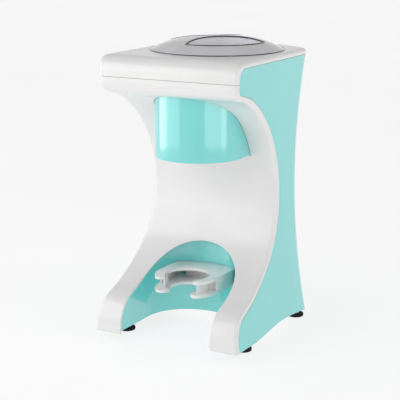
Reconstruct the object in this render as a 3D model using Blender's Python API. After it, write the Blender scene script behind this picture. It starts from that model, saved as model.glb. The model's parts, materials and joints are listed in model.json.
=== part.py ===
"""Tabletop shaved ice machine with an S-shaped body, modelled as separate pieces.

Metres, +Z up, front of the machine toward -Y. The origin is on the floor under the middle
of the body. Build with: blender --background --python part.py
"""
import math

import bmesh
import bpy
from mathutils import Vector

MM = 0.001

# ---- driving dimensions (metres) ----------------------------------------------------------
BODY_TOP = 384 * MM            # flat top of the head
SEAM_Z = 357 * MM              # joint between the top cover and the front band, on the nose
GAP = 0.3 * MM                 # between neighbouring pieces
SHELL = 2.5 * MM               # wall of the teal shells and the top cover
BAND_WALL = 3 * MM             # wall of the white front band
TRIM = 8 * MM                  # depth of the white rolled edge beside the teal panels
ROLL = 4 * MM                  # radius of that rolled edge

WIDTH_LEVELS = (0, 192 * MM, 345.6 * MM)       # heights where the half width is known
HALF_WIDTHS = (109 * MM, 95.5 * MM, 99.5 * MM)
REAR_LEVELS = (7 * MM, 235 * MM, 374 * MM)     # heights where the back's reach is known
REAR_REACH = (129.5 * MM, 104.5 * MM, 122 * MM)
REAR_CROWN = 173 * MM          # plan radius of the crowned back
REAR_CORNER = 21 * MM          # plan radius of its corners

# Front outline of the body in the YZ plane, from the top edge over the nose and down to the
# foot. The two nose corners are arcs, and a smooth curve runs through the points under them.
NOSE_Y = -120.5 * MM
NOSE_TOP_RADIUS = 19 * MM
NOSE_BOTTOM_RADIUS = 20 * MM
NOSE_BOTTOM_Z = 353.5 * MM     # height of the centre of the nose's lower radius
NOSE_UNDERSIDE_TURN = math.radians(68)
S_CURVE = [(-76, 325.5), (-40, 301.5), (-10.5, 266), (8, 220), (7.5, 170), (-11.5, 126.5),
           (-42, 95), (-78.5, 71.5), (-112, 56.5), (-127, 36), (-129.5, 22), (-129.5, 12)]

LID_Y = 18 * MM                # the lid, chamber and blade share this vertical axis
LID_RADIUS = 91 * MM
LID_OPENING = LID_RADIUS + 0.6 * MM
LID_EDGE_Z = 383.8 * MM
LID_WALL = 2.7 * MM
DOME_RISE = 18 * MM
GRIP_ANGLE = math.radians(44.5)  # the grip bar's direction from +X with the lid locked
GRIP_HALF_WIDTH = 9 * MM       # at the waist between the two finger pockets
POCKET_RADIUS = 66 * MM
POCKET_CORNER = math.radians(34)
POCKET_FLOOR = 389 * MM

CHUTE_HALF_WIDTH = 60.5 * MM
CHUTE_Y = -31.7 * MM           # centre of the round front of the chute housing
CHUTE_BOTTOM = 246.3 * MM
CHUTE_TOP = 335.4 * MM
OUTLET_Y = -60 * MM
OUTLET_RADIUS = 24 * MM

ARCH_HALF_WIDTH = 68 * MM      # opening between the two front legs
ARCH_SPRING = 69 * MM
ARCH_RISE = 54 * MM

RECESS_HALF_WIDTH = 70.5 * MM  # concave wall behind the arch
RECESS_Y = -58 * MM
RECESS_DEPTH = 55.5 * MM
RECESS_FRONT_Y = -125 * MM

CHAMBER_RADIUS = 74 * MM
CHAMBER_FLOOR = 336 * MM
FLANGE_Z = 378.6 * MM
FLANGE_RADIUS = 94.5 * MM

DISC_RADIUS = 71 * MM
DISC_Z = 343 * MM
SHAFT_RADIUS = 4 * MM
GEAR_TEETH = 45
PINION_TEETH = 12
GEAR_PITCH = 34 * MM
PINION_PITCH = GEAR_PITCH * PINION_TEETH / GEAR_TEETH
MOTOR_Y = LID_Y + GEAR_PITCH + PINION_PITCH
MOTOR_RADIUS = 31 * MM
GEAR_PLATE_Z = 281 * MM
GEAR_Z = 291 * MM

PIN_Y = LID_Y + 80.5 * MM      # interlock pin under the rear of the lid
PIN_RADIUS = 2 * MM
PIN_TOP = 381.6 * MM
PIN_RISE = 2.5 * MM
LID_TURN = math.radians(39)    # turn that unlocks the lid and lets the pin rise
OUTLET_TOP_Y = -29 * MM        # opening in the chamber floor

HOLDER_Y = -66 * MM            # axis of the paper cone
HOLDER_HALF_WIDTH = 44 * MM
HOLDER_PLATES = (67.2 * MM, 85.3 * MM)
HOLDER_PLATE = 4 * MM
HOLDER_BORES = (24 * MM, 30 * MM)
HOLDER_MOUTH = math.radians(52)   # half angle of the open front

FOOT_X = 90 * MM
FOOT_YS = (-77 * MM, 90 * MM)
FOOT_RADIUS = 11.5 * MM
FOOT_HEIGHT = 4.5 * MM
BASE_Z = 22 * MM
GLAND_Z = 50 * MM              # cord inlet, low on the back


# ---- materials ----------------------------------------------------------------------------
def make_material(name, colour, roughness, metallic=0.0, alpha=1.0):
    material = bpy.data.materials.new(name)
    material.use_nodes = True
    shader = material.node_tree.nodes["Principled BSDF"]
    shader.inputs["Base Color"].default_value = (*colour, 1)
    shader.inputs["Roughness"].default_value = roughness
    shader.inputs["Metallic"].default_value = metallic
    shader.inputs["Alpha"].default_value = alpha
    material.diffuse_color = (*colour, alpha)
    material.roughness = roughness
    material.metallic = metallic
    return material


LOOKS = {
    "white": ((0.87, 0.87, 0.87), 0.25, 0.0),
    "teal": ((0.25, 0.75, 0.72), 0.25, 0.0),
    "smoke": ((0.42, 0.40, 0.48), 0.12, 0.0),
    "frost": ((0.75, 0.77, 0.80), 0.35, 0.0),
    "rubber": ((0.02, 0.02, 0.02), 0.75, 0.0),
    "steel": ((0.62, 0.62, 0.64), 0.28, 1.0),
    "zinc": ((0.50, 0.50, 0.50), 0.45, 1.0),
    "nylon": ((0.80, 0.78, 0.70), 0.50, 0.0),
    "black_plastic": ((0.03, 0.03, 0.035), 0.50, 0.0),
    "board": ((0.05, 0.25, 0.10), 0.55, 0.0),
    "bronze": ((0.55, 0.38, 0.20), 0.40, 1.0),
}


# ---- mesh helpers -------------------------------------------------------------------------
def add_object(name, bm, look, origin=(0, 0, 0), parent=None, smooth_angle=35):
    """Turn a bmesh drawn in world coordinates into a named object with its own material."""
    bmesh.ops.remove_doubles(bm, verts=bm.verts, dist=1e-7)
    bmesh.ops.recalc_face_normals(bm, faces=bm.faces)
    bmesh.ops.translate(bm, verts=bm.verts, vec=-Vector(origin))
    mesh = bpy.data.meshes.new(name)
    bm.to_mesh(mesh)
    bm.free()
    mesh.materials.append(make_material(name + "_finish", *LOOKS[look]))
    mesh.shade_smooth()
    mesh.set_sharp_from_angle(angle=math.radians(smooth_angle))
    obj = bpy.data.objects.new(name, mesh)
    bpy.context.scene.collection.objects.link(obj)
    if parent is None:
        obj.location = origin
    else:
        obj.parent = parent
        obj.location = Vector(origin) - parent.location
    return obj


def make_joint_empty(name, location):
    empty = bpy.data.objects.new(name, None)
    empty.location = location
    empty.empty_display_size = 0.02
    bpy.context.scene.collection.objects.link(empty)
    return empty


def sheet(outer, inner):
    """Close two equal grids of points, outer[i][j] and inner[i][j], into one walled body."""
    bm = bmesh.new()
    rows, columns = len(outer), len(outer[0])
    skins = [[[bm.verts.new(p) for p in row] for row in grid] for grid in (outer, inner)]
    for skin in skins:
        for i in range(rows - 1):
            for j in range(columns - 1):
                bm.faces.new((skin[i][j], skin[i + 1][j], skin[i + 1][j + 1], skin[i][j + 1]))
    a, b = skins
    for i in range(rows - 1):
        for j in (0, columns - 1):
            bm.faces.new((a[i][j], a[i + 1][j], b[i + 1][j], b[i][j]))
    for j in range(columns - 1):
        for i in (0, rows - 1):
            bm.faces.new((a[i][j], a[i][j + 1], b[i][j + 1], b[i][j]))
    return bm


def loft(rings):
    """Skin a list of closed rings and cap both ends."""
    bm = bmesh.new()
    loops = [[bm.verts.new(p) for p in ring] for ring in rings]
    count = len(loops[0])
    for low, high in zip(loops, loops[1:]):
        for k in range(count):
            bm.faces.new((low[k], low[(k + 1) % count], high[(k + 1) % count], high[k]))
    bm.faces.new(loops[0])
    bm.faces.new(loops[-1])
    return bm


def tube_loft(outer_rings, inner_rings):
    """Skin an open-ended tube from outer rings and inner rings."""
    bm = bmesh.new()
    outer = [[bm.verts.new(p) for p in ring] for ring in outer_rings]
    inner = [[bm.verts.new(p) for p in ring] for ring in inner_rings]
    loops = outer + inner[::-1] + [outer[0]]
    count = len(outer[0])
    for low, high in zip(loops, loops[1:]):
        for k in range(count):
            bm.faces.new((low[k], low[(k + 1) % count], high[(k + 1) % count], high[k]))
    return bm


def prism(outline, low, high, axis="Z"):
    """Extrude a closed outline; it lies in XY for axis Z, in YZ for X and in XZ for Y."""
    place = {"Z": lambda a, b, t: (a, b, t), "X": lambda a, b, t: (t, a, b),
             "Y": lambda a, b, t: (a, t, b)}[axis]
    return loft([[place(a, b, t) for a, b in outline] for t in (low, high)])


def spun(profile, axis_xy=(0, 0), segments=48):
    """Turn a closed (radius, z) outline round a vertical axis into a ring-shaped body."""
    bm = bmesh.new()
    loops = []
    for step in range(segments):
        angle = 2 * math.pi * step / segments
        c, s = math.cos(angle), math.sin(angle)
        loops.append([bm.verts.new((axis_xy[0] + r * c, axis_xy[1] + r * s, z))
                      for r, z in profile])
    count = len(profile)
    for step in range(segments):
        here, there = loops[step], loops[(step + 1) % segments]
        for k in range(count):
            bm.faces.new((here[k], here[(k + 1) % count], there[(k + 1) % count], there[k]))
    return bm


def ring(inner, outer, low, high, axis_xy=(0, 0), segments=32):
    return spun([(inner, low), (outer, low), (outer, high), (inner, high)], axis_xy, segments)


def circle(radius, centre=(0, 0), segments=32, start=0.0):
    return [(centre[0] + radius * math.cos(start + 2 * math.pi * k / segments),
             centre[1] + radius * math.sin(start + 2 * math.pi * k / segments))
            for k in range(segments)]


def arc(radius, centre, start, end, steps):
    return [(centre[0] + radius * math.cos(start + (end - start) * k / steps),
             centre[1] + radius * math.sin(start + (end - start) * k / steps))
            for k in range(steps + 1)]


def cylinder(radius, low, high, axis_xy=(0, 0), segments=32):
    return prism(circle(radius, axis_xy, segments), low, high)


def box(x0, x1, y0, y1, z0, z1):
    return prism([(x0, y0), (x1, y0), (x1, y1), (x0, y1)], z0, z1)


def rounded_rectangle(half_x, half_y, radius, centre=(0, 0), steps=4):
    points = []
    for quadrant, (sx, sy) in enumerate(((1, 1), (-1, 1), (-1, -1), (1, -1))):
        corner = (centre[0] + sx * (half_x - radius), centre[1] + sy * (half_y - radius))
        start = quadrant * math.pi / 2
        points += arc(radius, corner, start, start + math.pi / 2, steps)
    return points


def combine(obj, bm, operation, name):
    """Apply a Boolean between an object and a cutter or an added block."""
    bmesh.ops.recalc_face_normals(bm, faces=bm.faces)
    mesh = bpy.data.meshes.new(name)
    bm.to_mesh(mesh)
    bm.free()
    tool = bpy.data.objects.new(name, mesh)
    tool.parent = obj
    tool.location = -(obj.location + (obj.parent.location if obj.parent else Vector()))
    tool.hide_render = True
    tool.display_type = "WIRE"
    bpy.context.scene.collection.objects.link(tool)
    modifier = obj.modifiers.new(name, "BOOLEAN")
    modifier.operation = operation
    modifier.object = tool
    modifier.solver = "EXACT"


def cut(obj, bm, name):
    combine(obj, bm, "DIFFERENCE", name)


def join(obj, bm, name):
    combine(obj, bm, "UNION", name)


# ---- body outlines ------------------------------------------------------------------------
def through_three(levels, values, z):
    """Quadratic through three (level, value) pairs."""
    total = 0.0
    for i in range(3):
        weight = 1.0
        for j in range(3):
            if i != j:
                weight *= (z - levels[j]) / (levels[i] - levels[j])
        total += weight * values[i]
    return total


def half_width(z):
    return through_three(WIDTH_LEVELS, HALF_WIDTHS, z)


def rear_reach(z):
    return through_three(REAR_LEVELS, REAR_REACH, z)


def smooth_curve(points, steps):
    """Catmull-Rom curve through the points, as (y, z) pairs."""
    padded = [points[0], *points, points[-1]]
    result = []
    for a, b, c, d in zip(padded, padded[1:], padded[2:], padded[3:]):
        for k in range(steps):
            t = k / steps
            result.append(tuple(
                0.5 * (2 * q + (r - p) * t + (2 * p - 5 * q + 4 * r - s) * t * t
                       + (3 * q - 3 * r + s - p) * t ** 3)
                for p, q, r, s in zip(a, b, c, d)))
    return result + [points[-1]]


def front_outline():
    """The body's front outline, top edge to foot, as (y, z) pairs."""
    top = arc(NOSE_TOP_RADIUS, (NOSE_Y + NOSE_TOP_RADIUS, BODY_TOP - NOSE_TOP_RADIUS),
              math.pi / 2, math.pi, 8)
    low_centre = (NOSE_Y + NOSE_BOTTOM_RADIUS, NOSE_BOTTOM_Z)
    bottom = arc(NOSE_BOTTOM_RADIUS, low_centre, math.pi, math.pi + NOSE_UNDERSIDE_TURN, 6)
    curve = smooth_curve([bottom[-1], *((y * MM, z * MM) for y, z in S_CURVE)], 2)
    return top + [(NOSE_Y, SEAM_Z)] + bottom + curve[1:]


def inward_normals(points):
    normals = []
    for k in range(len(points)):
        a, b = points[max(k - 1, 0)], points[min(k + 1, len(points) - 1)]
        dy, dz = b[0] - a[0], b[1] - a[1]
        length = math.hypot(dy, dz)
        normals.append((-dz / length, dy / length))
    return normals


def offset_outline(points, distance):
    return [(y + ny * distance, z + nz * distance)
            for (y, z), (ny, nz) in zip(points, inward_normals(points))]


GLAND_FACE_Y = rear_reach(GLAND_Z - 14 * MM) + 0.5 * MM
FRONT = front_outline()
SEAM_INDEX = FRONT.index((NOSE_Y, SEAM_Z))


def at_height(points, z):
    """The y of a falling outline at height z."""
    for (y0, z0), (y1, z1) in zip(points, points[1:]):
        if z0 >= z >= z1 and z0 > z1:
            return y0 + (y1 - y0) * (z0 - z) / (z0 - z1)
    return points[-1][0] if z < points[-1][1] else points[0][0]


def rear_arcs(z, inset, steps=4):
    """Half of the back's plan outline at height z: the corner arc, then the crowned back."""
    crown_y = rear_reach(z) - REAR_CROWN
    corner_x = half_width(z) - REAR_CORNER
    corner_y = crown_y + math.sqrt((REAR_CROWN - REAR_CORNER) ** 2 - corner_x ** 2)
    turn = math.atan2(corner_y - crown_y, corner_x)
    corner = arc(REAR_CORNER - inset, (corner_x, corner_y), 0, turn, steps)
    crown = arc(REAR_CROWN - inset, (0, crown_y), turn, math.pi / 2, steps)
    return corner, crown


# ---- outer shells -------------------------------------------------------------------------
def side_path(z, front_y, inset):
    """Plan path of a side panel at height z, from its front edge round the rear corner."""
    corner, _ = rear_arcs(z, inset)
    return [(half_width(z) - inset, front_y)] + corner


def make_side_panel(name, side):
    edge = [p for p in offset_outline(FRONT, TRIM) if p[1] > 11 * MM]
    edge = [p for k, p in enumerate(edge) if k == 0 or edge[k - 1][1] - p[1] > 0.4 * MM]
    outer, inner = [], []
    for y, z in edge:
        outer.append([(side * px, py, z) for px, py in side_path(z, y, 0)])
        inner.append([(side * px, py, z) for px, py in side_path(z, y, SHELL)])
    panel = add_object(name, sheet(outer, inner), "teal")
    arch = [(y * MM, z * MM) for y, z in ((-90, -5), (-90, 10), (-73, 12), (-43, 15), (-12, 18),
                                          (8, 19), (30, 18.3), (60, 16), (88, 13.2), (100, 11),
                                          (100, -5))]
    cut(panel, prism(arch, -0.13, 0.13, "X"), name + "_arch")
    return panel


def make_front_band():
    line = FRONT[SEAM_INDEX:]
    line[0] = (NOSE_Y, SEAM_Z - GAP)
    normals = inward_normals(line)
    normals[0] = (1, 0)

    def section(y, z, normal, inset):
        reach = half_width(z)
        roll = arc(ROLL - inset, (reach - ROLL, ROLL), 0, -math.pi / 2, 3)
        right = [(reach - inset, TRIM - GAP)] + roll
        path = right + [(-x, depth) for x, depth in right[::-1]]
        return [(x, y + normal[0] * depth, z + normal[1] * depth) for x, depth in path]

    outer = [section(y, z, n, 0) for (y, z), n in zip(line, normals)]
    inner = [section(y, z, n, BAND_WALL) for (y, z), n in zip(line, normals)]
    band = add_object("front_band", sheet(outer, inner), "white")
    arch = [(ARCH_HALF_WIDTH, -0.02)] + [(ARCH_HALF_WIDTH * math.cos(a), ARCH_SPRING
            + ARCH_RISE * math.sin(a)) for a in [math.pi * k / 20 for k in range(21)]]
    cut(band, prism(arch + [(-ARCH_HALF_WIDTH, -0.02)], -0.2, 0.06, "Y"), "arch_opening")
    cut(band, prism(chute_outline(0.4 * MM, 40 * MM), CHUTE_BOTTOM - 0.4 * MM, 0.3445),
        "chute_opening")
    return band


def make_top_cover():
    """A cap with a rolled top edge, kept only where it is outside the teal panels."""
    roll = 6 * MM

    def plan(z, inset):
        front_y = at_height(FRONT, min(z, BODY_TOP - 0.01 * MM)) + inset
        drop = max(z - (BODY_TOP - roll), 0)
        pull = roll - math.sqrt(roll ** 2 - drop ** 2) + inset
        reach = half_width(z) - pull
        corner, crown = rear_arcs(z, pull)
        half = [(reach - ROLL * (1 - math.cos(a)), front_y + ROLL * (1 - math.sin(a)))
                for a in [math.pi / 2 - math.pi / 6 * k for k in range(4)]]
        half += corner + crown[1:]
        return half + [(-x, y) for x, y in half[-2::-1]]

    heights = [SEAM_Z, BODY_TOP - NOSE_TOP_RADIUS]
    heights += [BODY_TOP - NOSE_TOP_RADIUS * (1 - math.sin(math.pi / 2 * k / 8))
                for k in range(1, 8)] + [BODY_TOP - 0.05 * MM]
    outer = [[(x, y, z) for x, y in plan(z, 0)] for z in heights]
    inner = [[(x, y, min(z, BODY_TOP - SHELL)) for x, y in plan(z, SHELL)]
             for z in heights if z < BODY_TOP - SHELL - 0.5 * MM]
    inner.append([(x, y, BODY_TOP - SHELL) for x, y in plan(BODY_TOP - SHELL, SHELL)])
    bm = bmesh.new()
    loops = [[bm.verts.new(p) for p in points] for points in inner[::-1] + outer]
    count = len(loops[0])
    for low, high in zip(loops, loops[1:]):
        for k in range(count):
            bm.faces.new((low[k], low[(k + 1) % count], high[(k + 1) % count], high[k]))
    bm.faces.new(loops[0])
    bm.faces.new(loops[-1])
    cover = add_object("top_cover", bm, "white")
    inside = offset_outline(FRONT, TRIM - GAP)
    keep_out = [p for p in inside if p[1] > SEAM_Z - 20 * MM]
    keep_out = [(0.2, keep_out[0][1])] + keep_out + [(0.2, SEAM_Z - 20 * MM)]
    cut(cover, prism(keep_out, -0.13, 0.13, "X"), "panel_clearance")
    cut(cover, cylinder(LID_OPENING, 0.37, 0.40, (0, LID_Y), 40), "lid_opening")
    return cover


def make_rear_cover():
    levels = 10
    low, high = 12.5 * MM, BODY_TOP - TRIM
    outer, inner = [], []
    for k in range(levels):
        z = low + (high - low) * k / (levels - 1)
        for grid, inset in ((outer, 0), (inner, SHELL)):
            _, crown = rear_arcs(z, inset)
            seam = GAP / (REAR_CROWN - inset)
            crown_y = rear_reach(z) - REAR_CROWN
            start = math.atan2(crown[0][1] - crown_y, crown[0][0]) + seam
            grid.append([(x, y, z) for x, y in
                         arc(REAR_CROWN - inset, (0, crown_y), start, math.pi - start, 10)])
    cover = add_object("rear_cover", sheet(outer, inner), "teal")
    for row in range(7):
        slot = rounded_rectangle(26 * MM, 1.75 * MM, 1.7 * MM, (0, (180 + 11 * row) * MM), 2)
        cut(cover, prism(slot, 0.07, 0.14, "Y"), f"vent_{row + 1}")
    seat = circle(12.5 * MM, (0, GLAND_Z), 24)
    join(cover, prism(seat, rear_reach(GLAND_Z) - 2 * MM, GLAND_FACE_Y, "Y"), "gland_seat")
    cut(cover, prism(circle(7.3 * MM, (0, GLAND_Z), 24), 0.09, 0.15, "Y"), "gland_hole")
    return cover


def recess_outline(inset, front_y):
    """Plan path of the concave wall, from the right front edge round to the left."""
    reach = RECESS_HALF_WIDTH + inset
    side = [(reach, front_y + (RECESS_Y - front_y) * k / 3) for k in range(3)]
    back = [(reach * math.cos(a), RECESS_Y + (RECESS_DEPTH + inset) * math.sin(a))
            for a in [math.pi / 2 * k / 9 for k in range(10)]]
    half = side + back
    return half + [(-x, y) for x, y in half[-2::-1]]


def make_recess_wall():
    behind_band = offset_outline(FRONT, BAND_WALL + 0.5 * MM)

    def height_at(y):
        for (y0, z0), (y1, z1) in zip(behind_band, behind_band[1:]):
            if z0 < 170 * MM and y0 >= y >= y1:
                return z0 + (z1 - z0) * (y0 - y) / (y0 - y1)
        return 50 * MM

    rows = 5
    grids = []
    for inset in (0, SHELL):
        path = recess_outline(inset, RECESS_FRONT_Y)
        grid = []
        for x, y in path:
            spread = min(abs(x) / RECESS_HALF_WIDTH, 1)
            low = (14 + 5 * math.sqrt(1 - spread ** 2)) * MM
            high = height_at(y)
            grid.append([(x, y, low + (high - low) * k / (rows - 1)) for k in range(rows)])
        grids.append(grid)
    return add_object("recess_wall", sheet(*grids), "teal")


def chute_outline(grow, back_y):
    """Closed D-shaped plan outline: a round front and straight sides back to back_y."""
    reach = CHUTE_HALF_WIDTH + grow
    return [(reach, back_y)] + arc(reach, (0, CHUTE_Y), 0, -math.pi, 24) + [(-reach, back_y)]


def make_chute_housing():
    grids = []
    for inset in (0, SHELL):
        path = chute_outline(-inset, 4 * MM)
        grids.append([[(x, y, z) for z in (CHUTE_BOTTOM, CHUTE_TOP)] for x, y in path])
    return add_object("chute_housing", sheet(*grids), "teal")


def make_chute_floor():
    outline = chute_outline(-SHELL - GAP, 2 * MM)
    floor = add_object("chute_floor", prism(outline, 249 * MM, 251.5 * MM), "white")
    cut(floor, cylinder(OUTLET_RADIUS + 2.3 * MM, 0.24, 0.26, (0, OUTLET_Y)), "outlet_hole")
    return floor


def make_ice_chute():
    """Funnel from the chamber's floor opening down to the round outlet."""
    wall = 2 * MM
    steps = [(335.6, 0.0), (322, 0.0), (300, 0.4), (275, 0.9), (262, 1.0), (247.6, 1.0)]

    def section(blend, inset):
        wide = rounded_rectangle(36 * MM - inset, 18 * MM - inset, 12 * MM, (0, OUTLET_TOP_Y), 7)
        round_end = circle(OUTLET_RADIUS + wall - inset, (0, OUTLET_Y), len(wide))
        return [((1 - blend) * a + blend * c, (1 - blend) * b + blend * d)
                for (a, b), (c, d) in zip(wide, round_end)]

    rings = [[[(x, y, z * MM) for x, y in section(blend, inset)] for z, blend in steps]
             for inset in (0, wall)]
    return add_object("ice_chute", tube_loft(*rings), "white")


def make_base_plate():
    def plan(z):
        corner, crown = rear_arcs(z, SHELL + 0.8 * MM)
        back_y = RECESS_Y + RECESS_DEPTH + 6 * MM
        half = [(78 * MM, back_y), (78 * MM, -118 * MM),
                (half_width(z) - SHELL - 0.8 * MM, -118 * MM)]
        half += corner + crown[1:]
        return half + [(-x, y) for x, y in half[-2::-1]]

    plate = add_object("base_plate", prism(plan(BASE_Z + 2 * MM), BASE_Z, BASE_Z + 3 * MM), "white")
    for x in (-FOOT_X, FOOT_X):
        for y in FOOT_YS:
            join(plate, cylinder(5 * MM, FOOT_HEIGHT + GAP, BASE_Z + 1 * MM, (x, y), 24),
                 f"boss_{len(plate.modifiers) + 1}")
    for x in (-FOOT_X, FOOT_X):
        for y in FOOT_YS:
            cut(plate, cylinder(1.8 * MM, 0, 16 * MM, (x, y), 12),
                f"pilot_{len(plate.modifiers) + 1}")
    return plate


def make_feet():
    for y, end in zip(FOOT_YS, ("front", "rear")):
        for x, side in ((-FOOT_X, "left"), (FOOT_X, "right")):
            pad = [(1.8 * MM, 3 * MM), (4.2 * MM, 3 * MM), (4.2 * MM, 0),
                   (FOOT_RADIUS - 0.8 * MM, 0), (FOOT_RADIUS, 0.8 * MM),
                   (FOOT_RADIUS, FOOT_HEIGHT), (1.8 * MM, FOOT_HEIGHT)]
            add_object(f"foot_{end}_{side}", spun(pad, (x, y), 20), "rubber")
            screw = [(3.6 * MM, 0.7 * MM), (3.6 * MM, 2.6 * MM), (1.4 * MM, 2.8 * MM),
                     (1.4 * MM, 15 * MM)]
            add_object(f"foot_screw_{end}_{side}", solid_turning(screw, (x, y), 12), "zinc")


def solid_turning(profile, axis_xy, segments=24):
    """Turn an open (radius, z) profile from bottom to top and cap both ends."""
    return loft([[(x, y, z) for x, y in circle(r, axis_xy, segments)] for r, z in profile])


# ---- chamber and lid ----------------------------------------------------------------------
def make_ice_chamber():
    wall = CHAMBER_RADIUS + SHELL
    profile = [(8.4 * MM, CHAMBER_FLOOR), (wall, CHAMBER_FLOOR), (wall, FLANGE_Z),
               (FLANGE_RADIUS, FLANGE_Z), (FLANGE_RADIUS, FLANGE_Z + SHELL),
               (CHAMBER_RADIUS, FLANGE_Z + SHELL),
               (CHAMBER_RADIUS, CHAMBER_FLOOR + 3 * MM), (8.4 * MM, CHAMBER_FLOOR + 3 * MM)]
    chamber = add_object("ice_chamber", spun(profile, (0, LID_Y), 40), "frost")
    outlet = rounded_rectangle(33 * MM, 15 * MM, 9 * MM, (0, OUTLET_TOP_Y))
    cut(chamber, prism(outlet, 0.33, 0.3395), "floor_outlet")
    cut(chamber, cylinder(PIN_RADIUS + 0.5 * MM, 0.37, 0.39, (0, PIN_Y), 12), "pin_hole")
    return chamber


def dome_height(radius):
    return LID_EDGE_Z + DOME_RISE * (1 - (radius / LID_RADIUS) ** 3)


def pocket_outline(side, grow):
    """Plan outline of one finger pocket: a round lip and a wall bowed towards the grip."""
    c, s = math.cos(GRIP_ANGLE), math.sin(GRIP_ANGLE)
    reach = POCKET_RADIUS + grow
    corner = POCKET_CORNER - grow / reach * 0.6
    lip = arc(reach, (0, 0), corner, math.pi - corner, 10)
    end_along, end_across = lip[0]
    waist = GRIP_HALF_WIDTH - grow
    steps = 8
    wall = []
    for k in range(1, steps):
        along = end_along * (2 * k / steps - 1)
        wall.append((along, waist + (end_across - waist) * (along / end_along) ** 2))
    return [(side * (along * c + across * s), LID_Y + side * (along * s - across * c))
            for along, across in lip + wall]


def make_lid(lift, twist):
    """Domed lid with its seal; the lid turns about twist and everything lifts with lift."""
    seal = ring(85.8 * MM, 90.8 * MM, FLANGE_Z + SHELL + 0.2 * MM, FLANGE_Z + SHELL + 1.1 * MM,
                (0, LID_Y), 40)
    add_object("lid_seal", seal, "rubber", lift.location, lift)

    segments = 40
    radii = [8 * MM, 30 * MM, 46 * MM, 58 * MM, 68 * MM, 77 * MM, 84.5 * MM, LID_RADIUS]
    outer = [(r, dome_height(r)) for r in radii]
    under = [(min(r, 86 * MM), dome_height(r) - LID_WALL) for r in radii[:-1]]
    rim = [(LID_RADIUS, 382.5 * MM), (86 * MM, 382.5 * MM)]

    def turned(profile):
        return loft([[(x, y, z) for x, y in circle(r, (0, LID_Y), segments)]
                     for r, z in profile])

    blocks = [prism(pocket_outline(side, LID_WALL), POCKET_FLOOR - LID_WALL, 0.41)
              for side in (1, -1)]
    lid = add_object("lid", blocks[0], "smoke", twist.location, twist)
    join(lid, blocks[1], "second_pocket_block")
    inside = [(r, z - 0.3 * MM) for r, z in outer]
    combine(lid, turned(inside + [(LID_RADIUS - 1 * MM, 0.37)]), "INTERSECT", "dome_limit")
    join(lid, turned(outer + rim + under[::-1]), "dome_shell")
    join(lid, ring(70.8 * MM, 73 * MM, 375.5 * MM, 391 * MM, (0, LID_Y), segments), "lid_skirt")
    for side, label in ((1, "front"), (-1, "rear")):
        cut(lid, prism(pocket_outline(side, 0), POCKET_FLOOR, 0.42), f"{label}_finger_pocket")
    make_lid_cam(twist)

    post = [(12, 361), (12, 386.1)]
    pusher = add_object("ice_pusher",
                        solid_turning([(r * MM, z * MM) for r, z in post], (0, LID_Y), 24),
                        "frost", twist.location, twist)
    join(pusher, cylinder(60 * MM, 361.5 * MM, 364 * MM, (0, LID_Y), 36), "pusher_plate")
    for k in range(6):
        angle = math.pi / 6 + math.pi / 3 * k
        spot = (38 * MM * math.cos(angle), LID_Y + 38 * MM * math.sin(angle))
        cut(pusher, cylinder(9 * MM, 0.35, 0.37, spot, 12), f"pusher_hole_{k + 1}")


def make_lid_cam(twist):
    """Ramp under the lid's rear edge; it holds the interlock pin down while locked."""
    start, level, end = math.radians(-35), math.radians(1.8), math.radians(6)
    angles = [start + (level - start) * k / 6 for k in range(7)] + [end]
    top = 385 * MM
    rings = []
    for angle in angles:
        low = PIN_TOP + 0.3 * MM + PIN_RISE * max(level - angle, 0) / LID_TURN
        c, s = math.cos(math.pi / 2 + angle), math.sin(math.pi / 2 + angle)
        rings.append([(r * c, LID_Y + r * s, z) for r, z in
                      ((78 * MM, low), (83 * MM, low), (83 * MM, top), (78 * MM, top))])
    add_object("lid_cam", loft(rings), "frost", twist.location, twist)


# ---- cutting and drive --------------------------------------------------------------------
def gear_outline(teeth, tip, root, centre):
    points = []
    for k in range(teeth):
        for share, radius in ((0.0, root), (0.35, root), (0.5, tip), (0.85, tip)):
            angle = 2 * math.pi * (k + share) / teeth
            points.append((centre[0] + radius * math.cos(angle),
                           centre[1] + radius * math.sin(angle)))
    return points


def ring_prism(outline, bore, low, high, centre):
    """A plate with any outline and a round bore."""
    count = len(outline)
    hole = []
    for x, y in outline:
        angle = math.atan2(y - centre[1], x - centre[0])
        hole.append((centre[0] + bore * math.cos(angle), centre[1] + bore * math.sin(angle)))
    rings = [[[(x, y, z) for x, y in path] for z in (low, high)] for path in (outline, hole)]
    assert count == len(hole)
    return tube_loft(*rings)


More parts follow.
